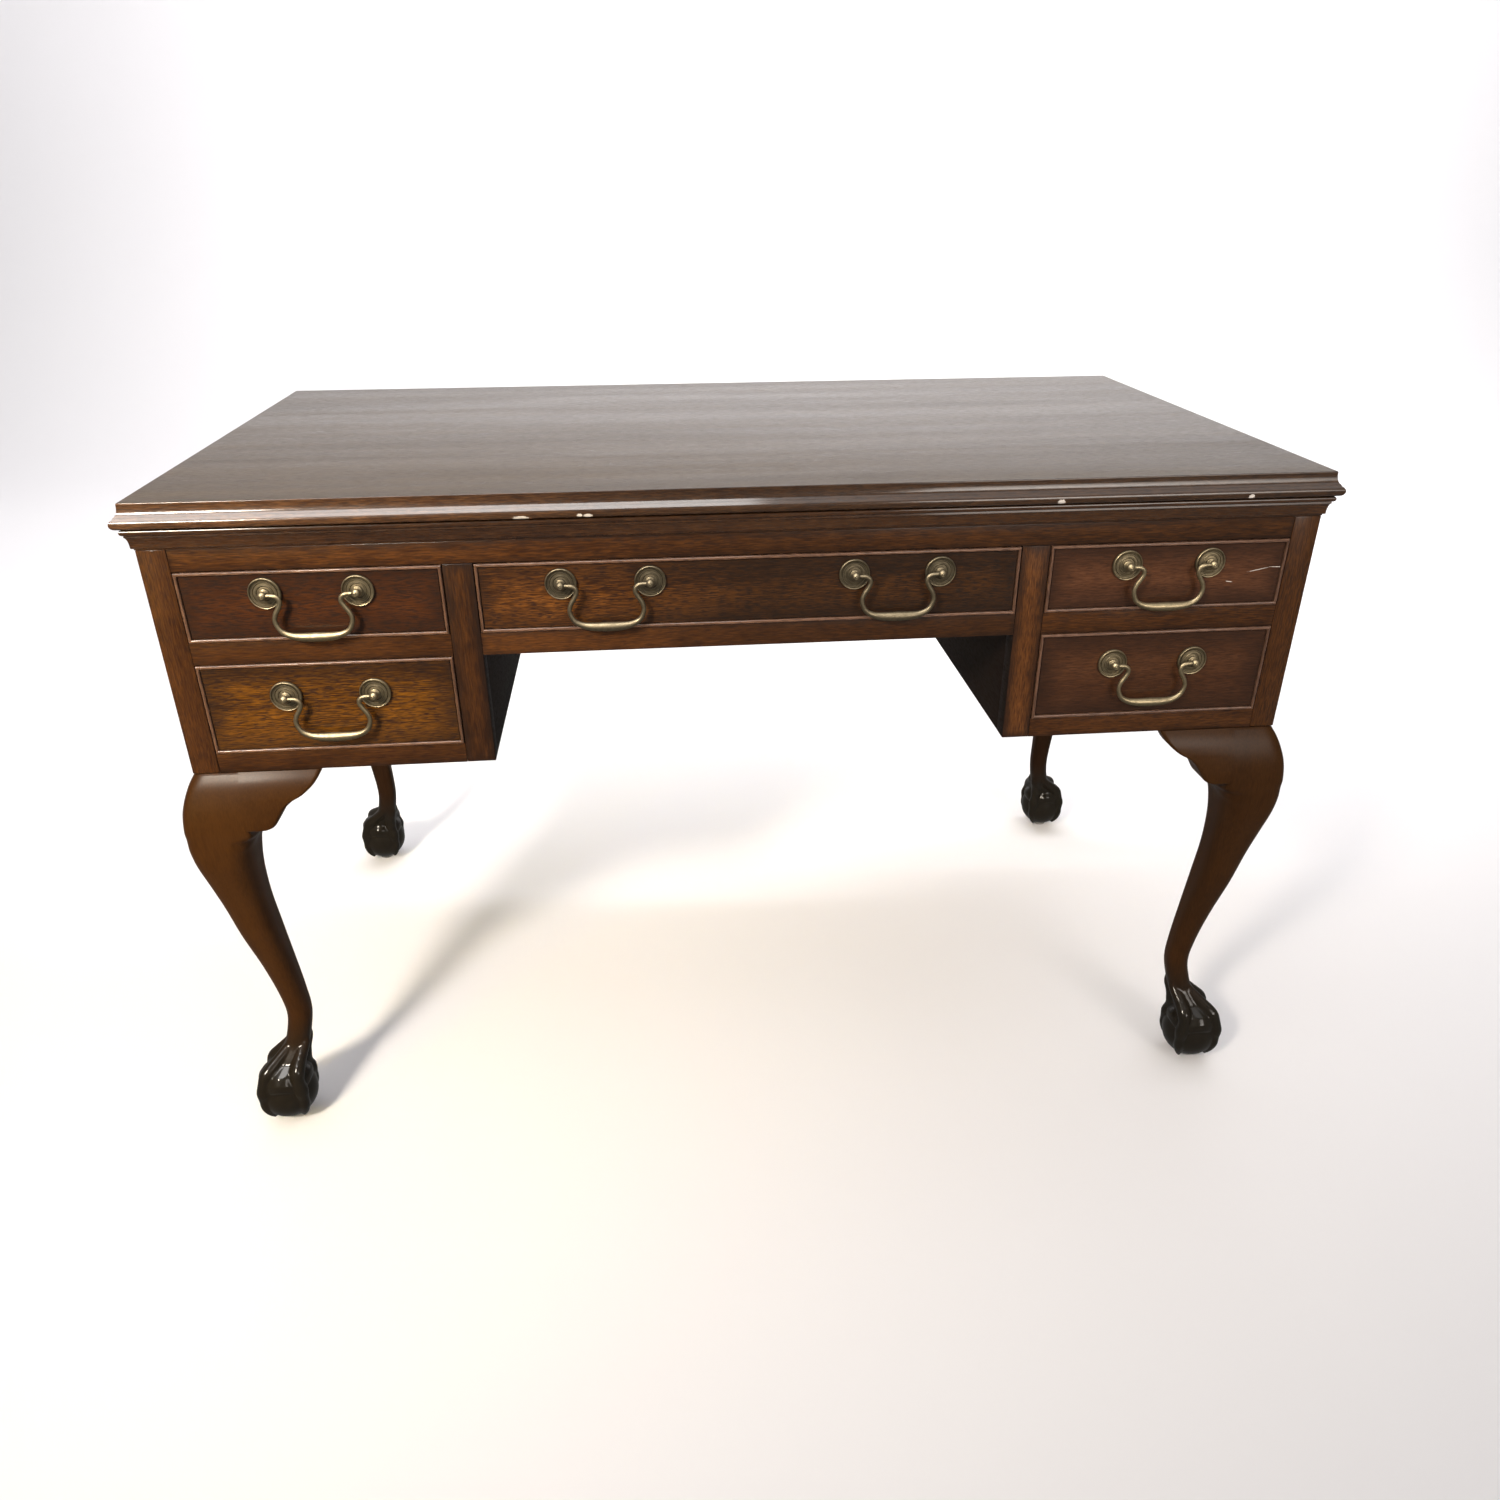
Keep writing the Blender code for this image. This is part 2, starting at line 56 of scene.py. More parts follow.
CORNER = Vector((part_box("side_right")[1].x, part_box("side_right")[0].y, 0.0))
LEG_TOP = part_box("leg_front_right")[1].z
LEG_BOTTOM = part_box("leg_front_right")[0].z
LEG_REACH = CORNER.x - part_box("leg_front_right")[0].x
KNEE_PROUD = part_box("leg_front_right")[1].x - CORNER.x - 0.0007
FOOT_INSET = CORNER.x - (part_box("glide_front_right")[0].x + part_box("glide_front_right")[1].x) / 2
LEG_POINTS = 64
LEG_VOXEL = 0.0014
BALL_RADIUS = 0.0338
BALL_HEIGHT = 0.0375
ANKLE_INSET = 0.0335
CLAW_DROP = 0.002
SMOOTH_ANGLE = 35

FOOT_BLACK = (0.0090, 0.0068, 0.0036, 1.0)
PORE_BLACK = (0.012, 0.006, 0.004, 1.0)
# Near black laid over the wood as painted shade, in creases and where the light falls off across a face.
PAINTED_SHADE_BLACK = (0.010, 0.006, 0.004, 1.0)
BARE_WOOD = (0.72, 0.66, 0.60, 1.0)


def clear_selection():
    """Goes back to object mode with nothing selected."""
    if bpy.context.object and bpy.context.object.mode != "OBJECT":
        bpy.ops.object.mode_set(mode="OBJECT")
    bpy.ops.object.select_all(action="DESELECT")


def take(piece):
    """Makes a piece the only one selected."""
    clear_selection()
    piece.select_set(True)
    bpy.context.view_layer.objects.active = piece


def apply_modifier(piece, kind, **settings):
    """Adds one modifier to a piece and applies it."""
    take(piece)
    modifier = piece.modifiers.new(kind.lower(), kind)
    for key, value in settings.items():
        setattr(modifier, key, value)
    bpy.ops.object.modifier_apply(modifier=modifier.name)


def new_piece(name, mesh):
    """Puts a mesh in the scene as a piece."""
    piece = bpy.data.objects.new(name, mesh)
    bpy.context.scene.collection.objects.link(piece)
    return piece


def join_pieces(name, pieces):
    """Joins several pieces into the first."""
    take(pieces[0])
    for piece in pieces:
        piece.select_set(True)
    bpy.ops.object.join()
    pieces[0].name = name
    return pieces[0]


def copy_piece(piece, name, matrix):
    """A copy of a piece with a mesh of its own, turned, mirrored or moved."""
    mesh = piece.data.copy()
    mesh.transform(matrix)
    if matrix.determinant() < 0:
        mesh.flip_normals()
    return new_piece(name, mesh)


def skin_rings(name, rings):
    """Skins a stack of rings with the same number of points and closes both ends."""
    model = bmesh.new()
    loops = [[model.verts.new(point) for point in ring] for ring in rings]
    for lower, upper in zip(loops, loops[1:]):
        for index in range(len(lower)):
            after = (index + 1) % len(lower)
            model.faces.new((lower[index], lower[after], upper[after], upper[index]))
    model.faces.new(reversed(loops[0]))
    model.faces.new(loops[-1])
    bmesh.ops.recalc_face_normals(model, faces=model.faces)
    mesh = bpy.data.meshes.new(name)
    model.to_mesh(mesh)
    model.free()
    return new_piece(name, mesh)


def smooth_through(points, steps):
    """A smooth curve through a few points, with the same number of steps between each two."""
    ends = [points[0]] + list(points) + [points[-1]]
    curve = []
    for before, start, end, after in zip(ends, ends[1:], ends[2:], ends[3:]):
        for step in range(steps):
            t = step / steps
            curve.append(tuple(
                0.5 * (2 * b + (c - a) * t + (2 * a - 5 * b + 4 * c - d) * t * t
                       + (3 * b - 3 * c + d - a) * t ** 3)
                for a, b, c, d in zip(before, start, end, after)))
    curve.append(tuple(points[-1]))
    return curve


def bent_rod(name, path, roundness):
    """A round rod with closed ends along a path of places and radii."""
    curve = bpy.data.curves.new(name, "CURVE")
    curve.dimensions = "3D"
    curve.bevel_depth = 1.0
    curve.bevel_resolution = roundness
    curve.use_fill_caps = True
    spline = curve.splines.new("POLY")
    spline.points.add(len(path) - 1)
    for point, (x, y, z, radius) in zip(spline.points, path):
        point.co = (x, y, z, 1.0)
        point.radius = radius
    rod = bpy.data.objects.new(name, curve)
    bpy.context.scene.collection.objects.link(rod)
    take(rod)
    bpy.ops.object.convert(target="MESH")
    return bpy.context.object


def shader(tree, kind, inputs=None, **settings):
    """Adds a shader node; each input is a value or the socket that feeds it."""
    node = tree.nodes.new(kind)
    for key, value in settings.items():
        setattr(node, key, value)
    for key, value in (inputs or {}).items():
        if isinstance(value, bpy.types.NodeSocket):
            tree.links.new(value, node.inputs[key])
        else:
            node.inputs[key].default_value = value
    return node


def maths(tree, operation, *values):
    """The result of one sum on numbers or sockets."""
    return shader(tree, "ShaderNodeMath", dict(enumerate(values)), operation=operation).outputs[0]


def vector_maths(tree, operation, *values):
    """The result of one sum on vectors or sockets."""
    return shader(tree, "ShaderNodeVectorMath", dict(enumerate(values)), operation=operation).outputs[0]


def ramp(tree, value, start, end, low, high, **settings):
    """Carries a value between two ends over to a result between two others, and holds it there."""
    return shader(tree, "ShaderNodeMapRange",
                  {"Value": value, "From Min": start, "From Max": end, "To Min": low, "To Max": high},
                  **settings).outputs[0]


def laid_over(tree, amount, under, over):
    """One colour laid over another by an amount from 0 to 1."""
    return shader(tree, "ShaderNodeMix", {0: amount, 6: under, 7: over}, data_type="RGBA").outputs[2]


def new_group(name, inputs, outputs):
    """A node group with named inputs, each a kind and a first value, and named outputs."""
    group = bpy.data.node_groups.new(name, "ShaderNodeTree")
    for label, (kind, value) in inputs.items():
        socket = group.interface.new_socket(label, in_out="INPUT", socket_type="NodeSocket" + kind)
        if value is not None:
            socket.default_value = value
    for label, kind in outputs.items():
        group.interface.new_socket(label, in_out="OUTPUT", socket_type="NodeSocket" + kind)
    return group, group.nodes.new("NodeGroupInput").outputs, group.nodes.new("NodeGroupOutput").inputs


def grain_noise(tree, vector, stretch, detail, roughness=0.5, distortion=0.0):
    """Noise drawn out along the grain, which runs along X."""
    stretched = vector_maths(tree, "MULTIPLY", vector, stretch)
    return shader(tree, "ShaderNodeTexNoise",
                  {"Vector": stretched, "Scale": 1.0, "Detail": detail, "Roughness": roughness,
                   "Distortion": distortion}).outputs["Fac"]


def build_wood_grain():
    """Straight-grained wood: broad bands, fine streaks, a faint mottle across them, and open pores."""
    tree, given, result = new_group(
        "wood_grain",
        {"Vector": ("Vector", None), "Light": ("Color", (1.0, 1.0, 1.0, 1.0)),
         "Dark": ("Color", (0.0, 0.0, 0.0, 1.0)), "Pores": ("Float", 0.5), "Roughness": ("Float", 0.3)},
        {"Color": "Color", "Roughness": "Float", "Height": "Float"})
    vector = given["Vector"]
    bands = grain_noise(tree, vector, (1.1, 24.0, 24.0), 4.0, 0.6, 0.7)
    streaks = grain_noise(tree, vector, (60.0, 760.0, 760.0), 2.0, 0.6)
    mottle = grain_noise(tree, vector, (22.0, 26.0, 26.0), 2.0, 0.5, 0.8)
    dashes = grain_noise(tree, vector, (110.0, 1100.0, 1100.0), 1.0)
    figure = maths(tree, "MULTIPLY", bands, 1.1)
    figure = maths(tree, "MULTIPLY_ADD", streaks, 1.3, figure)
    figure = maths(tree, "MULTIPLY_ADD", mottle, 0.4, figure)
    tone = ramp(tree, figure, 1.10, 1.70, 0.0, 1.0)
    pores = maths(tree, "MULTIPLY", ramp(tree, dashes, 0.50, 0.60, 0.0, 1.0), given["Pores"])
    wood = laid_over(tree, tone, given["Dark"], given["Light"])
    rough = maths(tree, "MULTIPLY_ADD", streaks, 0.16, given["Roughness"])
    tree.links.new(laid_over(tree, pores, wood, PORE_BLACK), result["Color"])
    tree.links.new(maths(tree, "MULTIPLY_ADD", pores, 0.25, rough), result["Roughness"])
    tree.links.new(maths(tree, "SUBTRACT", maths(tree, "MULTIPLY", streaks, 0.25), pores), result["Height"])
    return tree


def build_edge_toning():
    """A mask that rises towards the edges of a board's face."""
    tree, given, result = new_group(
        "edge_toning",
        {"Vector": ("Vector", None), "Middle": ("Vector", None), "Half Size": ("Vector", None),
         "Reach": ("Float", 0.02)},
        {"Mask": "Float"})
    away = vector_maths(tree, "ABSOLUTE", vector_maths(tree, "SUBTRACT", given["Vector"], given["Middle"]))
    room = vector_maths(tree, "SUBTRACT", given["Half Size"], away)
    parts = shader(tree, "ShaderNodeSeparateXYZ", {0: room}).outputs
    nearest = maths(tree, "MINIMUM", parts["X"], parts["Z"])
    cloud = shader(tree, "ShaderNodeTexNoise", {"Vector": given["Vector"], "Scale": 45.0, "Detail": 3.0})
    wavy = maths(tree, "MULTIPLY_ADD", cloud.outputs["Fac"], 0.012, nearest)
    mask = ramp(tree, wavy, 0.004, given["Reach"], 1.0, 0.0, interpolation_type="SMOOTHSTEP")
    tree.links.new(mask, result["Mask"])
    return tree


def build_nick():
    """A mask over one small ragged nick or scratch, as a squashed ball with a broken edge."""
    tree, given, result = new_group(
        "nick",
        {"Vector": ("Vector", None), "Place": ("Vector", None), "Tilt": ("Vector", None),
         "Size": ("Vector", None)},
        {"Mask": "Float"})
    local = shader(tree, "ShaderNodeMapping",
                   {"Vector": given["Vector"], "Location": given["Place"], "Rotation": given["Tilt"],
                    "Scale": given["Size"]}, vector_type="TEXTURE")
    reach = shader(tree, "ShaderNodeVectorMath", {0: local.outputs[0]}, operation="LENGTH").outputs["Value"]
    ragged = shader(tree, "ShaderNodeTexNoise", {"Vector": given["Vector"], "Scale": 700.0, "Detail": 2.0})
    edge = maths(tree, "MULTIPLY_ADD", ragged.outputs["Fac"], 0.9, reach)
    tree.links.new(ramp(tree, edge, 1.25, 1.45, 0.9, 0.0), result["Mask"])
    return tree


WOOD_GRAIN = build_wood_grain()
EDGE_TONING = build_edge_toning()
NICK = build_nick()
GRAIN_TURNS = {"X": (0.0, 0.0, 0.0), "Y": (0.0, 0.0, math.radians(90)), "Z": (0.0, math.radians(90), 0.0)}


def polished_wood(name, grain, shift, light, dark, pores=0.5, roughness=0.24, coat=0.22, toned=None,
                  toning=0.6, foot=False, nicks=(), crease_shade=0.75, gloss=0.12, relief=0.25, shade_span=None,
                  coat_roughness=0.10):
    """Polished wood with the grain along one axis.

    Toned gives a face's middle, half size and reach; each nick is a place, a size and a tilt; the span of
    painted shade gives the two places along X between which the wood is painted darker as shade, and by how
    much.  Crease shade is how dark creases are painted, as shade found by ambient occlusion.
    """
    material = bpy.data.materials.new(name)
    material.use_nodes = True
    tree = material.node_tree
    surface = tree.nodes["Principled BSDF"]
    surface.inputs["Specular IOR Level"].default_value = gloss
    surface.inputs["Coat Weight"].default_value = coat
    surface.inputs["Coat Roughness"].default_value = coat_roughness
    place = shader(tree, "ShaderNodeTexCoord").outputs["Object"]
    along = shader(tree, "ShaderNodeMapping",
                   {"Vector": place, "Location": (shift, shift * 0.37, shift * 0.61),
                    "Rotation": GRAIN_TURNS[grain]})
    wood = shader(tree, "ShaderNodeGroup",
                  {"Vector": along.outputs[0], "Light": (*light, 1.0), "Dark": (*dark, 1.0), "Pores": pores,
                   "Roughness": roughness}, node_tree=WOOD_GRAIN)
    colour = wood.outputs["Color"]
    if toned:
        middle, half, reach = toned
        edge = shader(tree, "ShaderNodeGroup",
                      {"Vector": place, "Middle": middle, "Half Size": half, "Reach": reach},
                      node_tree=EDGE_TONING)
        colour = laid_over(tree, maths(tree, "MULTIPLY", edge.outputs["Mask"], toning), colour, PORE_BLACK)
    # Painted shade: the wood goes darker from one place along X to another, where the light falls off.
    if shade_span:
        start, end, amount = shade_span
        across = shader(tree, "ShaderNodeSeparateXYZ", {0: place}).outputs["X"]
        darker = ramp(tree, across, start, end, 0.0, amount, interpolation_type="SMOOTHSTEP")
        colour = laid_over(tree, darker, colour, PAINTED_SHADE_BLACK)
    # Painted shade: creases and hollows, found by ambient occlusion, are laid over with near black.
    crease = shader(tree, "ShaderNodeAmbientOcclusion", {"Distance": 0.008}, samples=6)
    crease_shade_mask = ramp(tree, crease.outputs["AO"], 0.15, 0.75, crease_shade, 0.0)
    colour = laid_over(tree, crease_shade_mask, colour, PAINTED_SHADE_BLACK)
    if foot:
        height = shader(tree, "ShaderNodeSeparateXYZ", {0: place}).outputs["Z"]
        black = ramp(tree, height, 0.075, 0.150, 0.97, 0.0, interpolation_type="SMOOTHSTEP")
        colour = laid_over(tree, black, colour, FOOT_BLACK)
        for label, plain, shiny in (("Coat Weight", coat, 0.50), ("Coat Roughness", coat_roughness, 0.09)):
            tree.links.new(ramp(tree, black, 0.0, 1.0, plain, shiny), surface.inputs[label])
    for where, size, tilt in nicks:
        nick = shader(tree, "ShaderNodeGroup",
                      {"Vector": place, "Place": where, "Tilt": (0.0, math.radians(tilt), 0.0), "Size": size},
                      node_tree=NICK)
        colour = laid_over(tree, nick.outputs["Mask"], colour, BARE_WOOD)
    bump = shader(tree, "ShaderNodeBump",
                  {"Height": wood.outputs["Height"], "Strength": relief, "Distance": 0.0004})
    tree.links.new(colour, surface.inputs["Base Color"])
    tree.links.new(wood.outputs["Roughness"], surface.inputs["Roughness"])
    tree.links.new(bump.outputs[0], surface.inputs["Normal"])
    return material


def fit(piece, material, body="root", nodes=()):
    """Polishes a piece, gives it a finish if it has none, and fixes it to its body in place of the nodes that
    it stands for.
    """
    if not piece.data.materials:
        piece.data.materials.append(material)
    take(piece)
    bpy.ops.object.shade_smooth_by_angle(angle=math.radians(SMOOTH_ANGLE))
    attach(piece, body)
    if nodes:
        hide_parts(*nodes)


def leg_level(height, proud, inside, squareness, joined):
    """One level of a right front leg whose case corner is at the origin: a circle drawn out to a square.

    The outermost corner has its own squareness; the corners beside the brackets have another, and the
    innermost is squarer still.
    """
    middle = (proud - inside) / 2
    reach = (proud + inside) / 2
    ring = []
    for index in range(LEG_POINTS):
        angle = math.tau * index / LEG_POINTS
        outermost = math.cos(angle) > 0 > math.sin(angle)
        innermost = math.cos(angle) < 0 < math.sin(angle)
        power = 2 / (squareness if outermost else joined * 1.6 if innermost else joined)
        x = math.copysign(abs(math.cos(angle)) ** power, math.cos(angle))
        y = math.copysign(abs(math.sin(angle)) ** power, math.sin(angle))
        ring.append(Vector((middle + reach * x, reach * y - middle, height)))
    return ring


def claw_cuff(rise, radius, scallop):
    """The lower edge of the leg over the ball: it arches up between the claws."""
    ring = []
    for index in range(LEG_POINTS):
        angle = math.tau * index / LEG_POINTS
        x = radius * math.cos(angle) - FOOT_INSET
        y = radius * math.sin(angle) + FOOT_INSET
        ring.append(Vector((x, y, rise + scallop * abs(math.cos(2 * angle)))))
    return ring


def claw(turn):
    """One claw: a knuckled toe from the ankle down over the ball, ending in a pointed nail.

    Each of its levels gives a height, how far its root has moved over to the ankle, how far it stands out
    from that root, and its radius.
    """
    toe = [(0.112, 1.0, 0.0050, 0.0060), (0.098, 0.90, 0.0100, 0.0068), (0.084, 0.45, 0.0180, 0.0076),
           (0.072, 0.10, 0.0252, 0.0088), (0.061, 0.0, 0.0292, 0.0072), (0.050, 0.0, 0.0312, 0.0088),
           (0.039, 0.0, 0.0322, 0.0066), (0.029, 0.0, 0.0318, 0.0068), (0.018, 0.0, 0.0290, 0.0050),
           (0.008, 0.0, 0.0240, 0.0022)]
    path = []
    for height, ankle, out, radius in smooth_through(toe, 3):
        inset = FOOT_INSET + ankle * (ANKLE_INSET - FOOT_INSET)
        z = height + LEG_BOTTOM - CLAW_DROP
        path.append((out * math.cos(turn) - inset, out * math.sin(turn) + inset, z, radius))
    return bent_rod("claw", path, 3)


def carve_leg():
    """The right front leg, below a case corner at the origin: the shaft's levels, the ball and the claws."""
    levels = [(0.096, -0.0120, 0.0420, 2.0, 2.0), (0.106, -0.0165, 0.0450, 2.0, 2.0),
              (0.136, -0.0220, 0.0500, 2.0, 2.1), (0.172, -0.0190, 0.0490, 2.0, 2.3),
              (0.219, -0.0110, 0.0460, 2.1, 2.5), (0.269, -0.0005, 0.0425, 2.3, 2.9),
              (0.313, 0.0070, 0.0400, 2.5, 2.7), (0.348, 0.0140, 0.0400, 2.8, 2.7),
              (0.375, 0.0195, 0.0420, 3.2, 2.8), (0.396, KNEE_PROUD, 0.0455, 4.0, 3.4),
              (0.411, KNEE_PROUD, 0.0535, 4.6, 5.5), (0.4225, 0.0210, LEG_REACH, 5.0, 30.0),
              (0.445, 0.0175, LEG_REACH, 5.5, 30.0), (0.467, 0.0095, LEG_REACH, 6.0, 30.0),
              (LEG_TOP, 0.0005, LEG_REACH, 6.0, 30.0)]
    rings = [claw_cuff(0.030, 0.0180, 0.0), claw_cuff(0.048, 0.0315, 0.010), claw_cuff(0.056, 0.0312, 0.010),
             claw_cuff(0.070, 0.0250, 0.004), leg_level(0.082, -0.0010, 0.0370, 2.0, 2.0)]
    rings += [leg_level(*level) for level in smooth_through(levels, 5)]
    shaft = skin_rings("shaft", rings)
    bpy.ops.mesh.primitive_uv_sphere_add(segments=48, ring_count=32, radius=BALL_RADIUS,
                                         location=(-FOOT_INSET, FOOT_INSET, BALL_HEIGHT))
    ball = bpy.context.object
    bpy.ops.object.transform_apply()
    claws = [claw(math.radians(45 + 90 * quarter)) for quarter in range(4)]
    leg = join_pieces("carved_leg", [shaft, ball] + claws)
    apply_modifier(leg, "REMESH", mode="VOXEL", voxel_size=LEG_VOXEL)
    apply_modifier(leg, "SMOOTH", factor=0.5, iterations=5)
    apply_modifier(leg, "DECIMATE", ratio=0.5)
    take(leg)
    bpy.ops.object.mode_set(mode="EDIT")
    for level, below in ((LEG_TOP, False), (LEG_BOTTOM, True)):
        bpy.ops.mesh.select_all(action="SELECT")
        bpy.ops.mesh.bisect(plane_co=(0.0, 0.0, level), plane_no=(0.0, 0.0, 1.0), use_fill=True,
                            clear_inner=below, clear_outer=not below)
    bpy.ops.object.mode_set(mode="OBJECT")
    return leg


LEG_FINISH = dict(pores=0.05, roughness=0.34, coat=0.09, gloss=0.06, foot=True, relief=0.03,
                  coat_roughness=0.24)
leg_wood = polished_wood("leg_mahogany", "Z", 1.7, (0.0400, 0.0152, 0.0030), (0.0260, 0.0096, 0.0019),
                         **LEG_FINISH)
# The rear legs and brackets take a copy of the leg wood painted darker, as the shade under the desk.
shaded_rear_leg_wood = polished_wood("shaded_rear_leg_mahogany", "Z", 1.9, (0.0210, 0.0084, 0.0024),
                              (0.0140, 0.0056, 0.0016), **LEG_FINISH)
PLACES = {"front_right": (1, 1), "front_left": (-1, 1), "rear_right": (1, -1), "rear_left": (-1, -1)}
first_leg = carve_leg()
for place, (x_sign, y_sign) in PLACES.items():
    corner = Matrix.Translation((x_sign * CORNER.x, y_sign * CORNER.y, 0.0))
    leg = copy_piece(first_leg, "carved_leg_" + place, corner @ Matrix.Diagonal((x_sign, y_sign, 1.0, 1.0)))
    fit(leg, shaded_rear_leg_wood if "rear" in place else leg_wood, nodes=["leg_" + place])
bpy.data.objects.remove(first_leg)


# ---------------------------------------------------------------------------------------------------
# Knee brackets.  Ogee ears of the same mahogany, glued beside each knee and carved on with it, so that
# the swell of the knee runs out along them and rolls back under the case.

BRACKET_BACK = 0.013
BRACKET_ROUND = 0.005
BRACKET_LAP = 0.004


def carve_bracket():
    """The bracket beside the right front leg, along the front; the case corner is at the origin.

    Each level gives how far it is below the case, how far it reaches from the corner, and how far it
    stands proud of the case.
    """
    levels = [(0.0610, 0.0650, 0.0198), (0.0607, 0.0712, 0.0205), (0.0577, 0.0770, 0.0209),
              (0.0525, 0.0812, 0.0207), (0.0473, 0.0842, 0.0201), (0.0408, 0.0884, 0.0187),
              (0.0356, 0.0928, 0.0175), (0.0300, 0.1000, 0.0159), (0.0252, 0.1096, 0.0143),
              (0.0161, 0.1208, 0.0107), (0.0080, 0.1272, 0.0065), (0.0, 0.1312, 0.0010)]
    root = LEG_REACH - BRACKET_LAP
    rings = []
    for drop, reach, proud in smooth_through(levels, 3):
        height = LEG_TOP - drop
        soft = min(BRACKET_ROUND, (reach - root) * 0.6)
        ring = [(-root, BRACKET_BACK, height), (-root, -proud, height)]
        for step in range(7):
            angle = math.radians(90 * step / 6)
            ring.append((-reach + soft - soft * math.sin(angle), -proud + soft - soft * math.cos(angle),
                         height))
        ring.append((-reach, BRACKET_BACK, height))
        rings.append(ring)
    return skin_rings("carved_bracket", rings)


first_bracket = carve_bracket()
ALONG_SIDE = Matrix(((0, -1, 0, 0), (-1, 0, 0, 0), (0, 0, 1, 0), (0, 0, 0, 1)))
for place, (x_sign, y_sign) in PLACES.items():
    corner = Matrix.Translation((x_sign * CORNER.x, y_sign * CORNER.y, 0.0))
    corner = corner @ Matrix.Diagonal((x_sign, y_sign, 1.0, 1.0))
    turns = {"side_": ALONG_SIDE}
    if y_sign > 0:
        turns[""] = Matrix.Identity(4)
    for way, turn in turns.items():
        end, side = place.split("_")
        node = "bracket_" + end + "_" + way + side
        bracket = copy_piece(first_bracket, "carved_" + node, corner @ turn)
        fit(bracket, shaded_rear_leg_wood if "rear" in place else leg_wood, nodes=[node])
bpy.data.objects.remove(first_bracket)


# ---------------------------------------------------------------------------------------------------
# Glides.  Pressed steel buttons, each with a single nail, tapped into the underside of each ball so that
# the desk slides without tearing the carving.

WELD = 0.00001


def turned(name, profile, steps, centre, axis):
    """A turned piece: a profile of radii and heights spun round an axis through a centre."""
    axis = Vector(axis)
    across = axis.orthogonal().normalized()
    clear_selection()
    bpy.ops.mesh.primitive_plane_add(size=0.001, location=centre)
    piece = bpy.context.object
    bpy.ops.object.transform_apply()
    bpy.ops.object.mode_set(mode="EDIT")
    bpy.ops.mesh.select_all(action="SELECT")
    bpy.ops.mesh.merge(type="CENTER")
    points = [across * radius + axis * height for radius, height in profile]
    bpy.ops.transform.translate(value=points[0])
    for start, end in zip(points, points[1:]):
        bpy.ops.mesh.extrude_region_move(TRANSFORM_OT_translate={"value": end - start})
    bpy.ops.mesh.select_all(action="SELECT")
    bpy.ops.mesh.spin(steps=steps, angle=math.tau, center=centre, axis=axis)
    bpy.ops.mesh.select_all(action="SELECT")
    bpy.ops.mesh.remove_doubles(threshold=WELD)
    bpy.ops.mesh.dissolve_degenerate(threshold=WELD)
    bpy.ops.mesh.normals_make_consistent(inside=False)
    bpy.ops.object.mode_set(mode="OBJECT")
    piece.name = name
    return piece


def worn_metal(name, bright, dull, roughness):
    """Old metal: bright where hands rub it, brown in the hollows, with fine scratches."""
    material = bpy.data.materials.new(name)
    material.use_nodes = True
    tree = material.node_tree
    surface = tree.nodes["Principled BSDF"]
    place = shader(tree, "ShaderNodeTexCoord").outputs["Object"]
    noises = [shader(tree, "ShaderNodeTexNoise", {"Vector": place, "Scale": scale, "Detail": detail})
              for scale, detail in ((260.0, 4.0), (1900.0, 2.0))]
    cloud, fine = (noise.outputs["Fac"] for noise in noises)
    crease = shader(tree, "ShaderNodeAmbientOcclusion", {"Distance": 0.006}, samples=8).outputs["AO"]
    rubbed = maths(tree, "MULTIPLY", ramp(tree, crease, 0.38, 0.97, 0.0, 1.0),
                   ramp(tree, cloud, 0.30, 0.62, 0.60, 1.0))
    rough = ramp(tree, rubbed, 0.0, 1.0, roughness + 0.22, roughness)
    bump = shader(tree, "ShaderNodeBump", {"Height": fine, "Strength": 0.12, "Distance": 0.0002})
    tree.links.new(laid_over(tree, rubbed, (*dull, 1.0), (*bright, 1.0)), surface.inputs["Base Color"])
    tree.links.new(rough, surface.inputs["Roughness"])
    tree.links.new(bump.outputs[0], surface.inputs["Normal"])
    surface.inputs["Metallic"].default_value = 1.0
    return material


glide_steel = worn_metal("glide_steel", (0.62, 0.60, 0.57), (0.20, 0.18, 0.16), 0.35)
for place in PLACES:
    low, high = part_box("glide_" + place)
    middle = (low + high) / 2
    radius = (high.x - low.x) / 2
    tall = high.z - low.z
    profile = [(0.0, 0.0), (radius * 0.55, 0.0), (radius * 0.85, tall * 0.12), (radius, tall * 0.45),
               (radius, tall * 0.8), (radius * 0.96, tall), (0.0, tall)]
    button = turned("glide_button_" + place, profile, 32, (middle.x, middle.y, low.z), (0, 0, 1))
    fit(button, glide_steel, nodes=["glide_" + place])


# ---------------------------------------------------------------------------------------------------
# Case.  Mahogany boards: two sides with front posts, two stiles, a top rail over them, drawer dividers
# and bottoms whose front edges show as rails, the kneehole's sides, and a plain back.

CASE_LIGHT = (0.078, 0.0280, 0.0064)
CASE_DARK = (0.024, 0.0082, 0.0020)
RAIL_TONING = 0.013
STILE_TONING = 0.020


def eased_copy(node, name, width):
    """A board cut to a node's shape, with its arrises taken off."""
    board = new_piece(name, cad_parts[node].data.copy())
    board.data.materials.clear()
    take(board)
    bpy.ops.object.mode_set(mode="EDIT")
    bpy.ops.mesh.select_all(action="SELECT")
    bpy.ops.mesh.remove_doubles(threshold=WELD)
    bpy.ops.mesh.dissolve_limited(angle_limit=math.radians(1))
    bpy.ops.object.mode_set(mode="OBJECT")
    apply_modifier(board, "BEVEL", width=width, segments=2, limit_method="ANGLE",
                   angle_limit=math.radians(40))
    return board


def face_of(node, reach):
    """The middle, half size and toning reach of a node's front face."""
    low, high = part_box(node)
    return tuple((low + high) / 2), tuple((high - low) / 2), reach


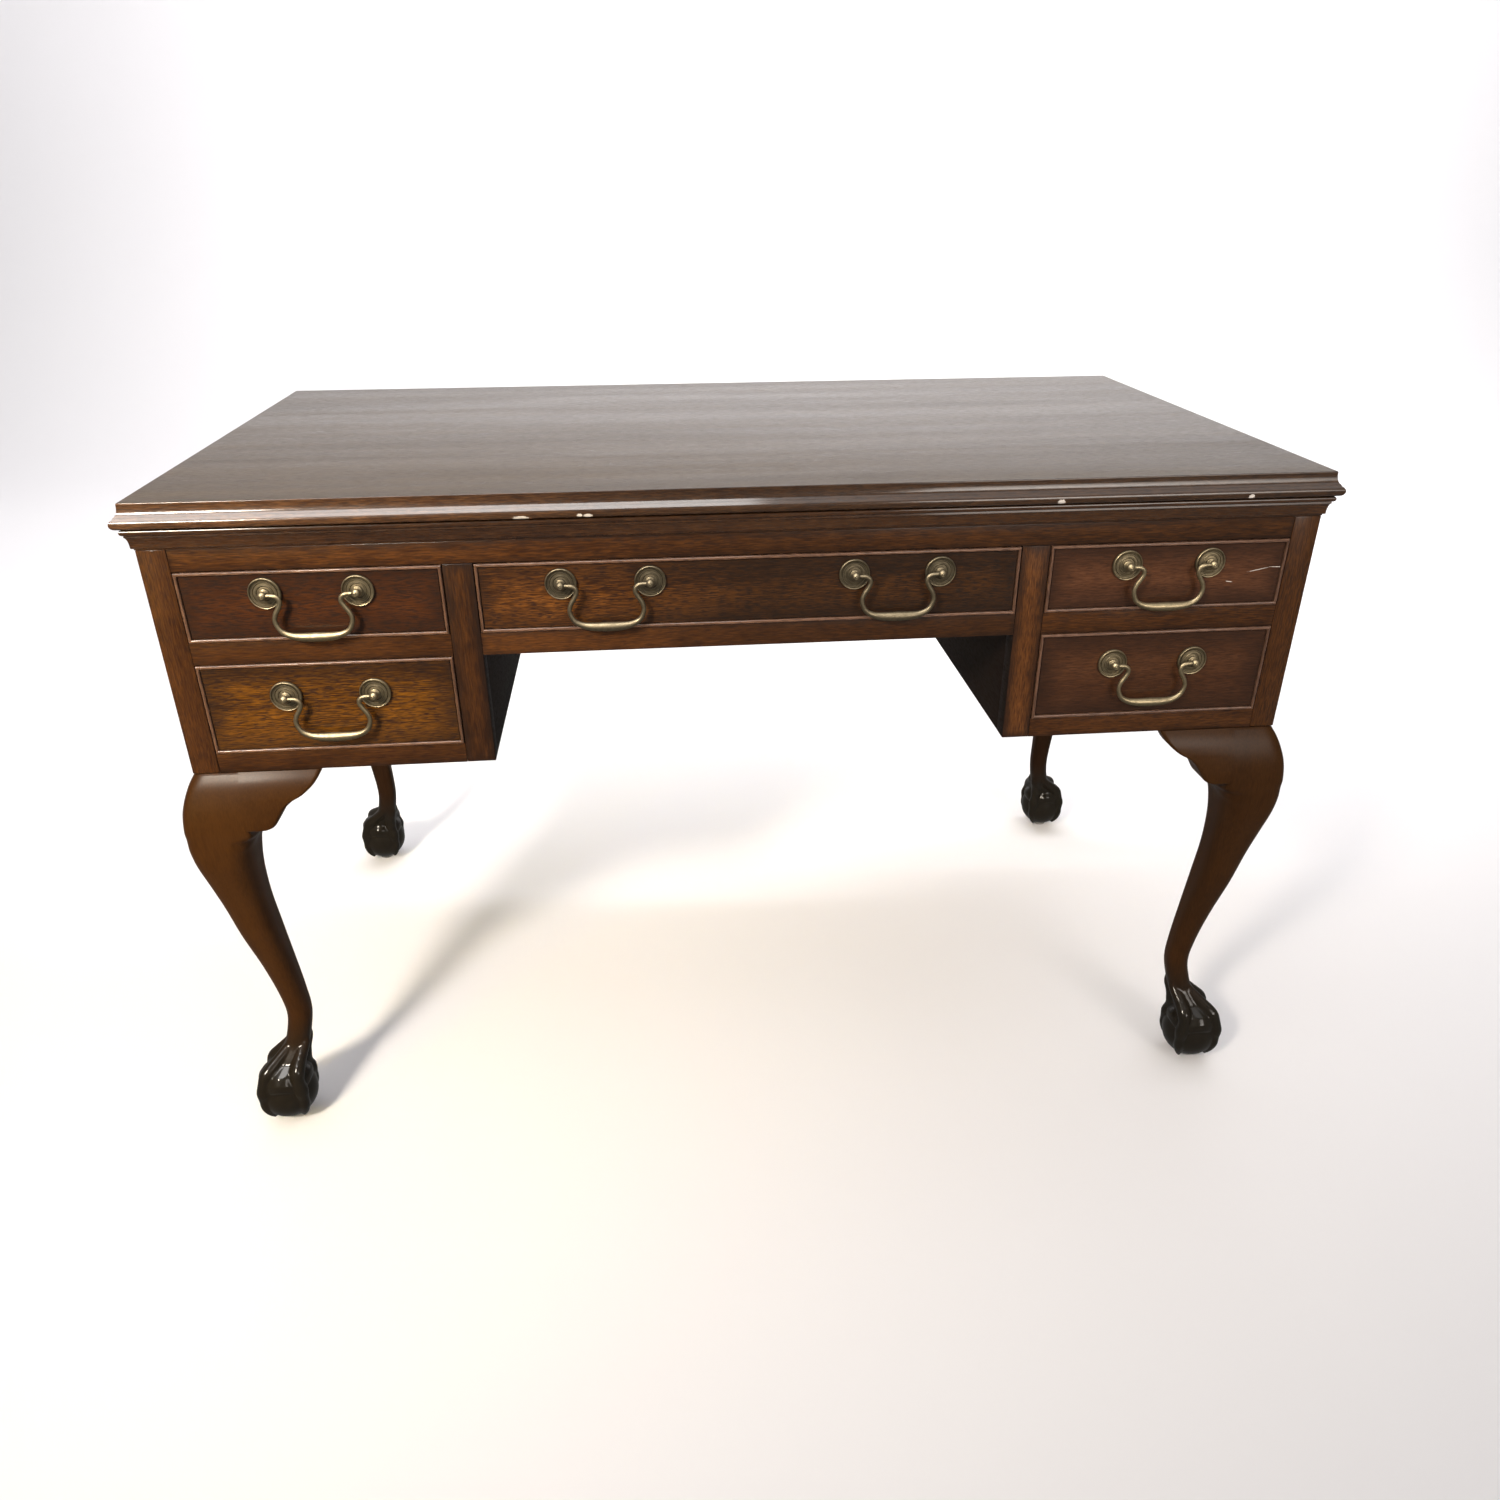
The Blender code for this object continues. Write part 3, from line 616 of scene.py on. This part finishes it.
# Each board's node, the way of its grain and where the grain starts, its eased edge, and how light it is.
BOARDS = [
    ("side_left", "Z", 0.3, 0.0010, 0.9), ("side_right", "Z", 0.9, 0.0010, 0.9),
    ("inner_stile_left", "Z", 2.1, 0.0006, 0.85), ("inner_stile_right", "Z", 2.7, 0.0006, 1.9),
    ("top_rail", "X", 3.2, 0.0006, 1.35), ("centre_rail", "X", 4.4, 0.0006, 1.1),
    ("drawer_divider_left", "X", 5.1, 0.0006, 0.88), ("drawer_divider_right", "X", 5.8, 0.0006, 1.0),
    ("pedestal_bottom_left", "X", 6.6, 0.0008, 0.80), ("pedestal_bottom_right", "X", 7.3, 0.0008, 1.05),
]
# The kneehole's faces are painted near black, as the shade inside the kneehole.
shaded_kneehole_wood = polished_wood("shaded_kneehole_mahogany", "Y", 8.2, (0.013, 0.0080, 0.0060),
                              (0.006, 0.0042, 0.0034), roughness=0.5, coat=0.0, gloss=0.04)
for node, grain, shift, width, shade in BOARDS:
    board = eased_copy(node, node + "_board", width)
    stile = "stile" in node
    toned = None if "side" in node else face_of(node, STILE_TONING if stile else RAIL_TONING)
    # The top and centre rails are painted darker from left of the middle towards the right, as shade.
    shade_span = (-0.25, 0.08, 0.35) if node in ("top_rail", "centre_rail") else None
    light = [shade * part for part in CASE_LIGHT]
    dark = [shade * part for part in CASE_DARK]
    wood = polished_wood(node + "_mahogany", grain, shift, light, dark, toned=toned,
                         toning=0.85 if stile else 0.6, shade_span=shade_span)
    # The stiles' faces towards the kneehole take the same painted shade.
    if stile:
        board.data.materials.append(wood)
        board.data.materials.append(shaded_kneehole_wood)
        for face in board.data.polygons:
            towards_knees = face.normal.x * face.center.x < -0.5 * abs(face.center.x)
            face.material_index = 1 if towards_knees else 0
    fit(board, wood, nodes=[node])

for side in ("left", "right"):
    board = eased_copy("kneehole_side_" + side, "kneehole_board_" + side, 0.0008)
    fit(board, shaded_kneehole_wood, nodes=["kneehole_side_" + side])

back = eased_copy("back_panel", "back_panel_board", 0.0008)
back_wood = polished_wood("back_mahogany", "X", 9.7, (0.120, 0.052, 0.024), (0.055, 0.023, 0.011),
                          roughness=0.42, coat=0.05)
fit(back, back_wood, nodes=["back_panel"])


# ---------------------------------------------------------------------------------------------------
# Moulding.  A bead and cove of mahogany planed in three lengths, mitred round the front corners and
# glued on the case under the top; it stops square at the back.

GAP = 0.0003
MOULDING_BACK = 0.020
MOULDING_TALL = 0.0209
MOULDING_LIGHT = (0.0561, 0.0238, 0.0086)
MOULDING_DARK = (0.0198, 0.0079, 0.0033)


def arc_steps(first, last, step):
    """The sine and cosine of each angle from the first to the last, in degrees."""
    angles = [math.radians(turn) for turn in range(first, last + 1, step)]
    return [(math.sin(angle), math.cos(angle)) for angle in angles]


def moulding_profile():
    """How far the moulding stands proud of the case, and how high, from its lower back edge round."""
    fillet = [(0.0003, 0.0), (0.0003, 0.0018), (0.0020, 0.0018), (0.0024, 0.0023)]
    cove = [(0.0024 + 0.0026 * (1 - cosine), 0.0030 + 0.0102 * sine)
            for sine, cosine in arc_steps(0, 90, 15)]
    bead = [(0.0046 + 0.0029 * sine, 0.0180 - 0.0029 * cosine) for sine, cosine in arc_steps(0, 180, 20)]
    return [(-MOULDING_BACK, 0.0)] + fillet + cove + bead + [(-MOULDING_BACK, MOULDING_TALL)]


def moulding_length(name, node, along):
    """One mitred length, drawn as an outline and pulled along the case."""
    low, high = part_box(node)
    side = 1 if low.x > 0 else -1
    rings = []
    for end in (-1, 1):
        ring = []
        for proud, rise in moulding_profile():
            z = low.z + rise * (high.z - low.z) / MOULDING_TALL
            if along == "X":
                ring.append((end * (CORNER.x + proud - GAP * 0.5), CORNER.y - proud, z))
            else:
                front = CORNER.y - proud + GAP * 0.5
                ring.append((side * (CORNER.x + proud), front if end < 0 else high.y, z))
        rings.append(ring)
    return skin_rings(name, rings)


moulding_wood = polished_wood("moulding_mahogany", "X", 10.3, MOULDING_LIGHT, MOULDING_DARK,
                              roughness=0.18, coat=0.6)
side_moulding_wood = polished_wood("side_moulding_mahogany", "Y", 11.1, MOULDING_LIGHT, MOULDING_DARK,
                                   roughness=0.18, coat=0.6)
fit(moulding_length("moulding_length_front", "moulding_front", "X"), moulding_wood,
    nodes=["moulding_front"])
for side in ("left", "right"):
    fit(moulding_length("moulding_length_" + side, "moulding_" + side, "Y"), side_moulding_wood,
        nodes=["moulding_" + side])


# ---------------------------------------------------------------------------------------------------
# Top.  One wide mahogany board, grain lengthwise, French polished, with an edge moulded all round: a
# small arris, a hollow, and a bold roll that turns under to the case moulding.

TOP_LOW, TOP_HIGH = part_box("top_board")


def top_edge():
    """How far each level of the edge stands in from its widest, and how far it is below the surface."""
    arris = [(0.0090 - 0.0010 * sine, 0.0010 * (1 - cosine)) for sine, cosine in arc_steps(0, 90, 30)]
    hollow = [(0.0080 - 0.0046 * (1 - cosine), 0.0022 + 0.0106 * sine)
              for sine, cosine in arc_steps(0, 80, 16)]
    roll = [(0.0052 - 0.0052 * sine, 0.0190 - 0.0052 * cosine) for sine, cosine in arc_steps(20, 180, 16)]
    return arris + hollow + roll


def build_top():
    """The board: its plan drawn once and drawn up through each level of the edge."""
    depth = TOP_HIGH.z - TOP_LOW.z
    rings = []
    for inset, drop in reversed(top_edge()):
        x = TOP_HIGH.x - inset
        y = TOP_HIGH.y - inset
        z = TOP_HIGH.z - min(drop, depth)
        rings.append([(-x, -y, z), (x, -y, z), (x, y, z), (-x, y, z)])
    return skin_rings("moulded_top", rings)


# Each nick's place, size and tilt.
CHIPS = [
    ((-0.224, -0.3325, 0.7455), (0.0085, 0.0060, 0.0024), 0),
    ((-0.160, -0.3325, 0.7462), (0.0050, 0.0060, 0.0020), 0),
    ((-0.168, -0.3325, 0.7468), (0.0026, 0.0060, 0.0020), 0),
    ((0.3073, -0.3325, 0.7462), (0.0042, 0.0060, 0.0032), 0),
    ((0.5037, -0.3325, 0.7466), (0.0034, 0.0060, 0.0026), 0),
]
top = build_top()
top_wood = polished_wood("top_mahogany", "X", 12.4, (0.086, 0.056, 0.026), (0.048, 0.030, 0.014), pores=0.3,
                         roughness=0.22, coat=0.10, gloss=0.24)
top_tree = top_wood.node_tree
top_surface = top_tree.nodes["Principled BSDF"]
top_surface.inputs["Specular Tint"].default_value = (1.0, 0.92, 0.80, 1.0)
smears = grain_noise(top_tree, shader(top_tree, "ShaderNodeTexCoord").outputs["Object"],
                     (1.3, 24.0, 1.0), 4.0, 0.6, 0.5)
top_tree.links.new(ramp(top_tree, smears, 0.35, 0.65, 0.0, 0.18), top_surface.inputs["Coat Weight"])
# The front edge is painted darker from its left end towards the middle, as shade, so that only its left end
# looks lit.
edge_wood = polished_wood("top_edge_mahogany", "X", 12.4, (0.145, 0.066, 0.025), (0.050, 0.0210, 0.0090),
                          roughness=0.20, coat=0.6, nicks=CHIPS, shade_span=(-0.5, 0.05, 0.66))
side_edge_wood = polished_wood("top_side_mahogany", "Y", 12.9, (0.110, 0.046, 0.017), (0.036, 0.0145, 0.0060),
                               roughness=0.20, coat=0.6)
for wood in (top_wood, edge_wood, side_edge_wood):
    top.data.materials.append(wood)
for face in top.data.polygons:
    if abs(face.normal.z) < 0.98:
        face.material_index = 1 if abs(face.normal.y) > abs(face.normal.x) else 2
fit(top, top_wood, nodes=["top_board"])


# ---------------------------------------------------------------------------------------------------
# Drawers.  A mahogany front with a mitred cock bead let in round its edge, on a box of plain pale wood
# with a thin bottom.  The field is darker towards its edges.

# Where each front's grain starts, and its light and dark colours.
DRAWERS = {
    "centre": (1.3, (0.200, 0.071, 0.0115), (0.040, 0.0132, 0.0024)),
    "upper_left": (2.9, (0.068, 0.0210, 0.0050), (0.034, 0.0100, 0.0024)),
    "upper_right": (4.7, (0.116, 0.0450, 0.0190), (0.066, 0.0250, 0.0104)),
    "lower_left": (6.1, (0.165, 0.0620, 0.0044), (0.032, 0.0112, 0.0010)),
    "lower_right": (7.9, (0.080, 0.0310, 0.0120), (0.046, 0.0170, 0.0064)),
}
BEAD_WIDTH = 0.0032
BEAD_PROUD = 0.0020
QUIRK = 0.0005
FIELD_TONING = 0.045


def drawer_field(name, low, high):
    """The flat board inside the bead."""
    small = Vector((BEAD_WIDTH + QUIRK, 0.0, BEAD_WIDTH + QUIRK))
    low = low + small + Vector((0.0, BEAD_PROUD, 0.0))
    high = high - small
    clear_selection()
    bpy.ops.mesh.primitive_cube_add(size=1.0, location=(low + high) / 2, scale=high - low)
    board = bpy.context.object
    bpy.ops.object.transform_apply()
    board.name = name
    apply_modifier(board, "BEVEL", width=0.0004, segments=1)
    return board


def cock_bead(name, low, high, level_wood, upright_wood):
    """The bead: an outline inset by its width, drawn back through the front's thickness, its nose rounded."""
    middle = (low + high) / 2
    size = high - low
    clear_selection()
    bpy.ops.mesh.primitive_plane_add(size=1.0, location=(middle.x, low.y, middle.z),
                                     rotation=(math.radians(90), 0.0, 0.0))
    bead = bpy.context.object
    bead.name = name
    bead.scale = (size.x, size.z, 1.0)
    bpy.ops.object.transform_apply()
    bpy.ops.object.mode_set(mode="EDIT")
    bpy.ops.mesh.select_all(action="SELECT")
    bpy.ops.mesh.inset(thickness=BEAD_WIDTH)
    bpy.ops.mesh.delete(type="FACE")
    bpy.ops.mesh.select_all(action="SELECT")
    bpy.ops.mesh.extrude_region_move(TRANSFORM_OT_translate={"value": (0.0, size.y, 0.0)})
    bpy.ops.mesh.select_all(action="SELECT")
    bpy.ops.mesh.normals_make_consistent(inside=False)
    bpy.ops.object.mode_set(mode="OBJECT")
    weights = bead.data.attributes.new("bevel_weight_edge", "FLOAT", "EDGE").data
    for edge in bead.data.edges:
        start, end = (bead.data.vertices[index].co for index in edge.vertices)
        at_front = max(abs(start.y - low.y), abs(end.y - low.y)) < 0.0001
        mitre = min(abs(start.x - end.x), abs(start.z - end.z)) > 0.0001
        weights[edge.index].value = 1.0 if at_front and not mitre else 0.0
    apply_modifier(bead, "BEVEL", width=0.0015, segments=5, limit_method="WEIGHT")
    bead.data.materials.append(level_wood)
    bead.data.materials.append(upright_wood)
    for polygon in bead.data.polygons:
        away_x = size.x / 2 - abs(polygon.center.x - middle.x)
        away_z = size.z / 2 - abs(polygon.center.z - middle.z)
        polygon.material_index = 1 if away_x < away_z else 0
    return bead


SCRATCHES = [
    ((0.5335, -0.3200, 0.6665), (0.0120, 0.0040, 0.00035), -11),
    ((0.5550, -0.3200, 0.6688), (0.0110, 0.0040, 0.00035), 2),
    ((0.5040, -0.3200, 0.6545), (0.0040, 0.0040, 0.00045), 8),
]
bead_level = polished_wood("bead_level_mahogany", "X", 13.3, (0.165, 0.088, 0.056), (0.090, 0.045, 0.027),
                           roughness=0.20, coat=0.6, crease_shade=0.15)
bead_upright = polished_wood("bead_upright_mahogany", "Z", 14.1, (0.135, 0.070, 0.044), (0.070, 0.035, 0.021),
                             roughness=0.20, coat=0.6, crease_shade=0.15)
box_wood = polished_wood("drawer_lining", "Y", 15.2, (0.420, 0.260, 0.130), (0.270, 0.150, 0.070), pores=0.3,
                         roughness=0.55, coat=0.0)
for drawer, (shift, light, dark) in DRAWERS.items():
    low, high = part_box("drawer_front_" + drawer)
    toned = face_of("drawer_front_" + drawer, FIELD_TONING)
    nicks = SCRATCHES if drawer == "upper_right" else ()
    # The centre drawer's field is painted darker from left of the middle towards the right, as shade.
    shade_span = (-0.22, 0.02, 0.68) if drawer == "centre" else None
    field_wood = polished_wood("field_mahogany_" + drawer, "X", shift, light, dark,
                               pores=0.4 if "right" in drawer else 0.8, roughness=0.26,
                               coat=0.2, toned=toned, toning=0.72, nicks=nicks, shade_span=shade_span)
    body = "drawer_" + drawer
    fit(drawer_field("drawer_field_" + drawer, low, high), field_wood, body,
        ["drawer_front_" + drawer])
    fit(cock_bead("cock_bead_" + drawer, low, high, bead_level, bead_upright), bead_level,
        body)
    box = eased_copy("drawer_box_" + drawer, "drawer_case_" + drawer, 0.0006)
    fit(box, box_wood, body, ["drawer_box_" + drawer])


# ---------------------------------------------------------------------------------------------------
# Pulls.  Cast and turned brass gone olive with age: two dished rosettes, each with a post through it
# whose ball head is bored for the bail, and a swan-neck bail sprung in between them, thick at the grip.

PULLS = ["centre_left", "centre_right", "upper_left", "upper_right", "lower_left", "lower_right"]
HEAD_BORE = 0.0025
brass = worn_metal("antique_brass", (0.285, 0.230, 0.140), (0.070, 0.056, 0.036), 0.42)
# The centre pulls take a copy of the brass painted darker, as the shade over the middle of the front.
shaded_centre_brass = worn_metal("dark_brass", (0.190, 0.155, 0.100), (0.052, 0.043, 0.029), 0.45)


def pull_body(pull):
    """The drawer that a pull is fixed to."""
    return "drawer_centre" if pull.startswith("centre") else "drawer_" + pull


def rosette_profile():
    """Radii and heights of a rosette and its post, from the middle of the head down and out to the rim."""
    head = [(0.0046 * sine, 0.0104 + 0.0046 * cosine) for sine, cosine in arc_steps(24, 150, 14)]
    dot = [(0.0, 0.0149), (0.0008, 0.0149), (0.0012, 0.0145)]
    neck = [(0.0027, 0.0056), (0.0034, 0.0050), (0.0044, 0.0048), (0.0050, 0.0042), (0.0052, 0.0022)]
    dish = [(0.0072, 0.0018), (0.0078, 0.0026), (0.0084, 0.0026), (0.0090, 0.0016), (0.0108, 0.0014),
            (0.0114, 0.0024), (0.0120, 0.0024), (0.0126, 0.0014), (0.0140, 0.0016)]
    rim = [(0.0145, 0.0031), (0.0151, 0.0034), (0.0156, 0.0030), (0.0158, 0.0020), (0.0158, GAP), (0.0, GAP)]
    return dot + head + neck + dish + rim


# Half a bail: how far each place is from the middle, how high it is against the pivot, and its radius.
BAIL_HALF = [(0.0422, 0.0, 0.0020), (0.0382, 0.0, 0.0020), (0.0335, -0.0006, 0.0023),
             (0.0300, -0.0030, 0.0024), (0.0292, -0.0075, 0.0024), (0.0318, -0.0130, 0.0024),
             (0.0352, -0.0185, 0.0024), (0.0370, -0.0245, 0.0023), (0.0360, -0.0305, 0.0024),
             (0.0322, -0.0370, 0.0027), (0.0245, -0.0412, 0.0033), (0.0140, -0.0430, 0.0043),
             (0.0, -0.0433, 0.0048)]
for pull in PULLS:
    low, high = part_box("bail_" + pull)
    middle_x = (low.x + high.x) / 2
    pivot_y = (low.y + high.y) / 2
    metal = shaded_centre_brass if pull.startswith("centre") else brass
    for side, sign in (("left", -1), ("right", 1)):
        node = "post_" + pull + "_" + side
        post_low, post_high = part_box(node)
        height = (post_low.z + post_high.z) / 2
        centre = Vector(((post_low.x + post_high.x) / 2, post_high.y + GAP, height))
        post = turned("rosette_and_" + node, rosette_profile(), 48, centre, (0, -1, 0))
        clear_selection()
        bpy.ops.mesh.primitive_cylinder_add(vertices=24, radius=HEAD_BORE, depth=0.012,
                                            location=(centre.x - sign * 0.0084, pivot_y, centre.z),
                                            rotation=(0.0, math.radians(90), 0.0))
        drill = bpy.context.object
        apply_modifier(post, "BOOLEAN", operation="DIFFERENCE", object=drill, solver="EXACT")
        bpy.data.objects.remove(drill)
        fit(post, metal, pull_body(pull), [node])
    half = smooth_through(BAIL_HALF, 5)
    path = [(-x, z, radius) for x, z, radius in half] + [(x, z, radius) for x, z, radius in half[-2::-1]]
    bail = bent_rod("swan_neck_bail_" + pull,
                    [(middle_x + x, pivot_y, height + z, radius) for x, z, radius in path], 5)
    fit(bail, metal, "bail_" + pull, ["bail_" + pull])


# ---------------------------------------------------------------------------------------------------
# Stage.  A pale floor that curves up behind the desk; a warm key and a low amber light from the left, a
# weaker fill from the right, a broad light overhead, two strips that show only in the polish, a wash for
# the backdrop, and the camera.

FLOOR_HALF = 7.0
FLOOR_FRONT = -6.0
FLOOR_BACK = 3.2
SWEEP = 1.5
SWEEP_STEPS = 12
FLAT_BACK = 0.6
WALL_TALL = 4.0
PAPER_LIGHT = (0.865, 0.855, 0.88, 1.0)
PAPER_DARK = (0.85, 0.84, 0.865, 1.0)

paper = bpy.data.materials.new("pale_paper")
paper.use_nodes = True
paper_tree = paper.node_tree
paper_place = shader(paper_tree, "ShaderNodeTexCoord").outputs["Object"]
paper_cloud = shader(paper_tree, "ShaderNodeTexNoise", {"Vector": paper_place, "Scale": 1.2, "Detail": 2.0})
paper_colour = laid_over(paper_tree, paper_cloud.outputs["Fac"], PAPER_DARK, PAPER_LIGHT)
paper_surface = paper_tree.nodes["Principled BSDF"]
paper_tree.links.new(paper_colour, paper_surface.inputs["Base Color"])
paper_surface.inputs["Roughness"].default_value = 0.9
paper_surface.inputs["Specular IOR Level"].default_value = 0.1


def paper_sheet(name, near, far):
    """A level sheet of the pale paper."""
    clear_selection()
    bpy.ops.mesh.primitive_plane_add(size=1.0, location=(0.0, (near + far) / 2, 0.0))
    sheet = bpy.context.object
    sheet.name = name
    sheet.scale = (2 * FLOOR_HALF, far - near, 1.0)
    bpy.ops.object.transform_apply()
    sheet.data.materials.append(paper)
    return sheet


floor = paper_sheet("floor", FLOOR_FRONT, FLOOR_BACK - FLAT_BACK)
floor.visible_glossy = False
backdrop = paper_sheet("backdrop", FLOOR_BACK - FLAT_BACK, FLOOR_BACK)
for vertex in backdrop.data.vertices:
    vertex.select = vertex.co.y > FLOOR_BACK - 0.1
for edge in backdrop.data.edges:
    edge.select = all(backdrop.data.vertices[index].select for index in edge.vertices)
for face in backdrop.data.polygons:
    face.select = False
bpy.ops.object.mode_set(mode="EDIT")
bpy.context.tool_settings.mesh_select_mode = (False, True, False)
for step in range(SWEEP_STEPS):
    start, end = (math.radians(90 * (step + more) / SWEEP_STEPS) for more in (0, 1))
    move = (0.0, SWEEP * (math.sin(end) - math.sin(start)), SWEEP * (math.cos(start) - math.cos(end)))
    bpy.ops.mesh.extrude_region_move(TRANSFORM_OT_translate={"value": move})
bpy.ops.mesh.extrude_region_move(TRANSFORM_OT_translate={"value": (0.0, 0.0, WALL_TALL)})
bpy.context.tool_settings.mesh_select_mode = (True, False, False)
bpy.ops.object.mode_set(mode="OBJECT")
bpy.ops.object.shade_smooth()


def soft_light(name, place, target, width, height, power, colour, spread):
    """A soft box aimed at a point, with its light held to a spread in degrees."""
    light = bpy.data.lights.new(name, "AREA")
    light.shape = "RECTANGLE"
    light.size = width
    light.size_y = height
    light.energy = power
    light.color = colour
    light.spread = math.radians(spread)
    lamp = bpy.data.objects.new(name, light)
    lamp.location = place
    lamp.rotation_euler = (Vector(target) - Vector(place)).to_track_quat("-Z", "Y").to_euler()
    bpy.context.scene.collection.objects.link(lamp)
    return lamp


soft_light("key", (-1.4, -2.1, 2.0), (-0.52, -0.3, 0.55), 0.4, 0.4, 11.0, (1.0, 0.90, 0.76), 60)
low_key = soft_light("low_key", (-1.5, -1.5, 0.6), (-0.54, -0.3, 0.38), 0.4, 0.4, 1.6, (1.0, 0.76, 0.22), 45)
soft_light("fill", (1.3, -2.4, 1.5), (0.52, -0.3, 0.62), 1.2, 1.2, 3.6, (1.0, 0.93, 0.86), 45)
low_key.visible_glossy = False
for name, x, width, power, colour in (("long_strip", -0.75, 1.9, 130.0, (1.0, 0.97, 0.94)),
                                      ("short_strip", 1.15, 1.7, 5.0, (0.92, 0.95, 1.0))):
    strip = soft_light(name, (x, -0.75, 2.7), (x, -0.3, 0.7), width, 1.6, power, colour, 180)
    strip.visible_diffuse = False
soft_light("overhead", (0.0, 0.3, 3.6), (0.0, 0.3, 0.0), 6.0, 5.0, 90.0, (1.0, 0.99, 0.98), 180)
soft_light("backdrop_wash", (1.2, 1.2, 3.2), (1.4, 4.6, 1.0), 6.0, 0.8, 215.0, (1.0, 0.99, 0.98), 180)
world = bpy.data.worlds.new("studio")
world.use_nodes = True
world.node_tree.nodes["Background"].inputs["Color"].default_value = (1.0, 0.97, 0.93, 1.0)
world.node_tree.nodes["Background"].inputs["Strength"].default_value = 0.24
bpy.context.scene.world = world
bpy.context.scene.view_settings.view_transform = "Standard"

lens = bpy.data.cameras.new("view")
lens.sensor_width = 36.0
lens.lens = 27.305
lens.shift_y = 0.02127
view = bpy.data.objects.new("view", lens)
view.location = (-0.1046, -1.4278, 1.0293)
view.rotation_euler = (math.radians(62.19), math.radians(0.2456), math.radians(-5.317))
bpy.context.scene.collection.objects.link(view)
bpy.context.scene.camera = view
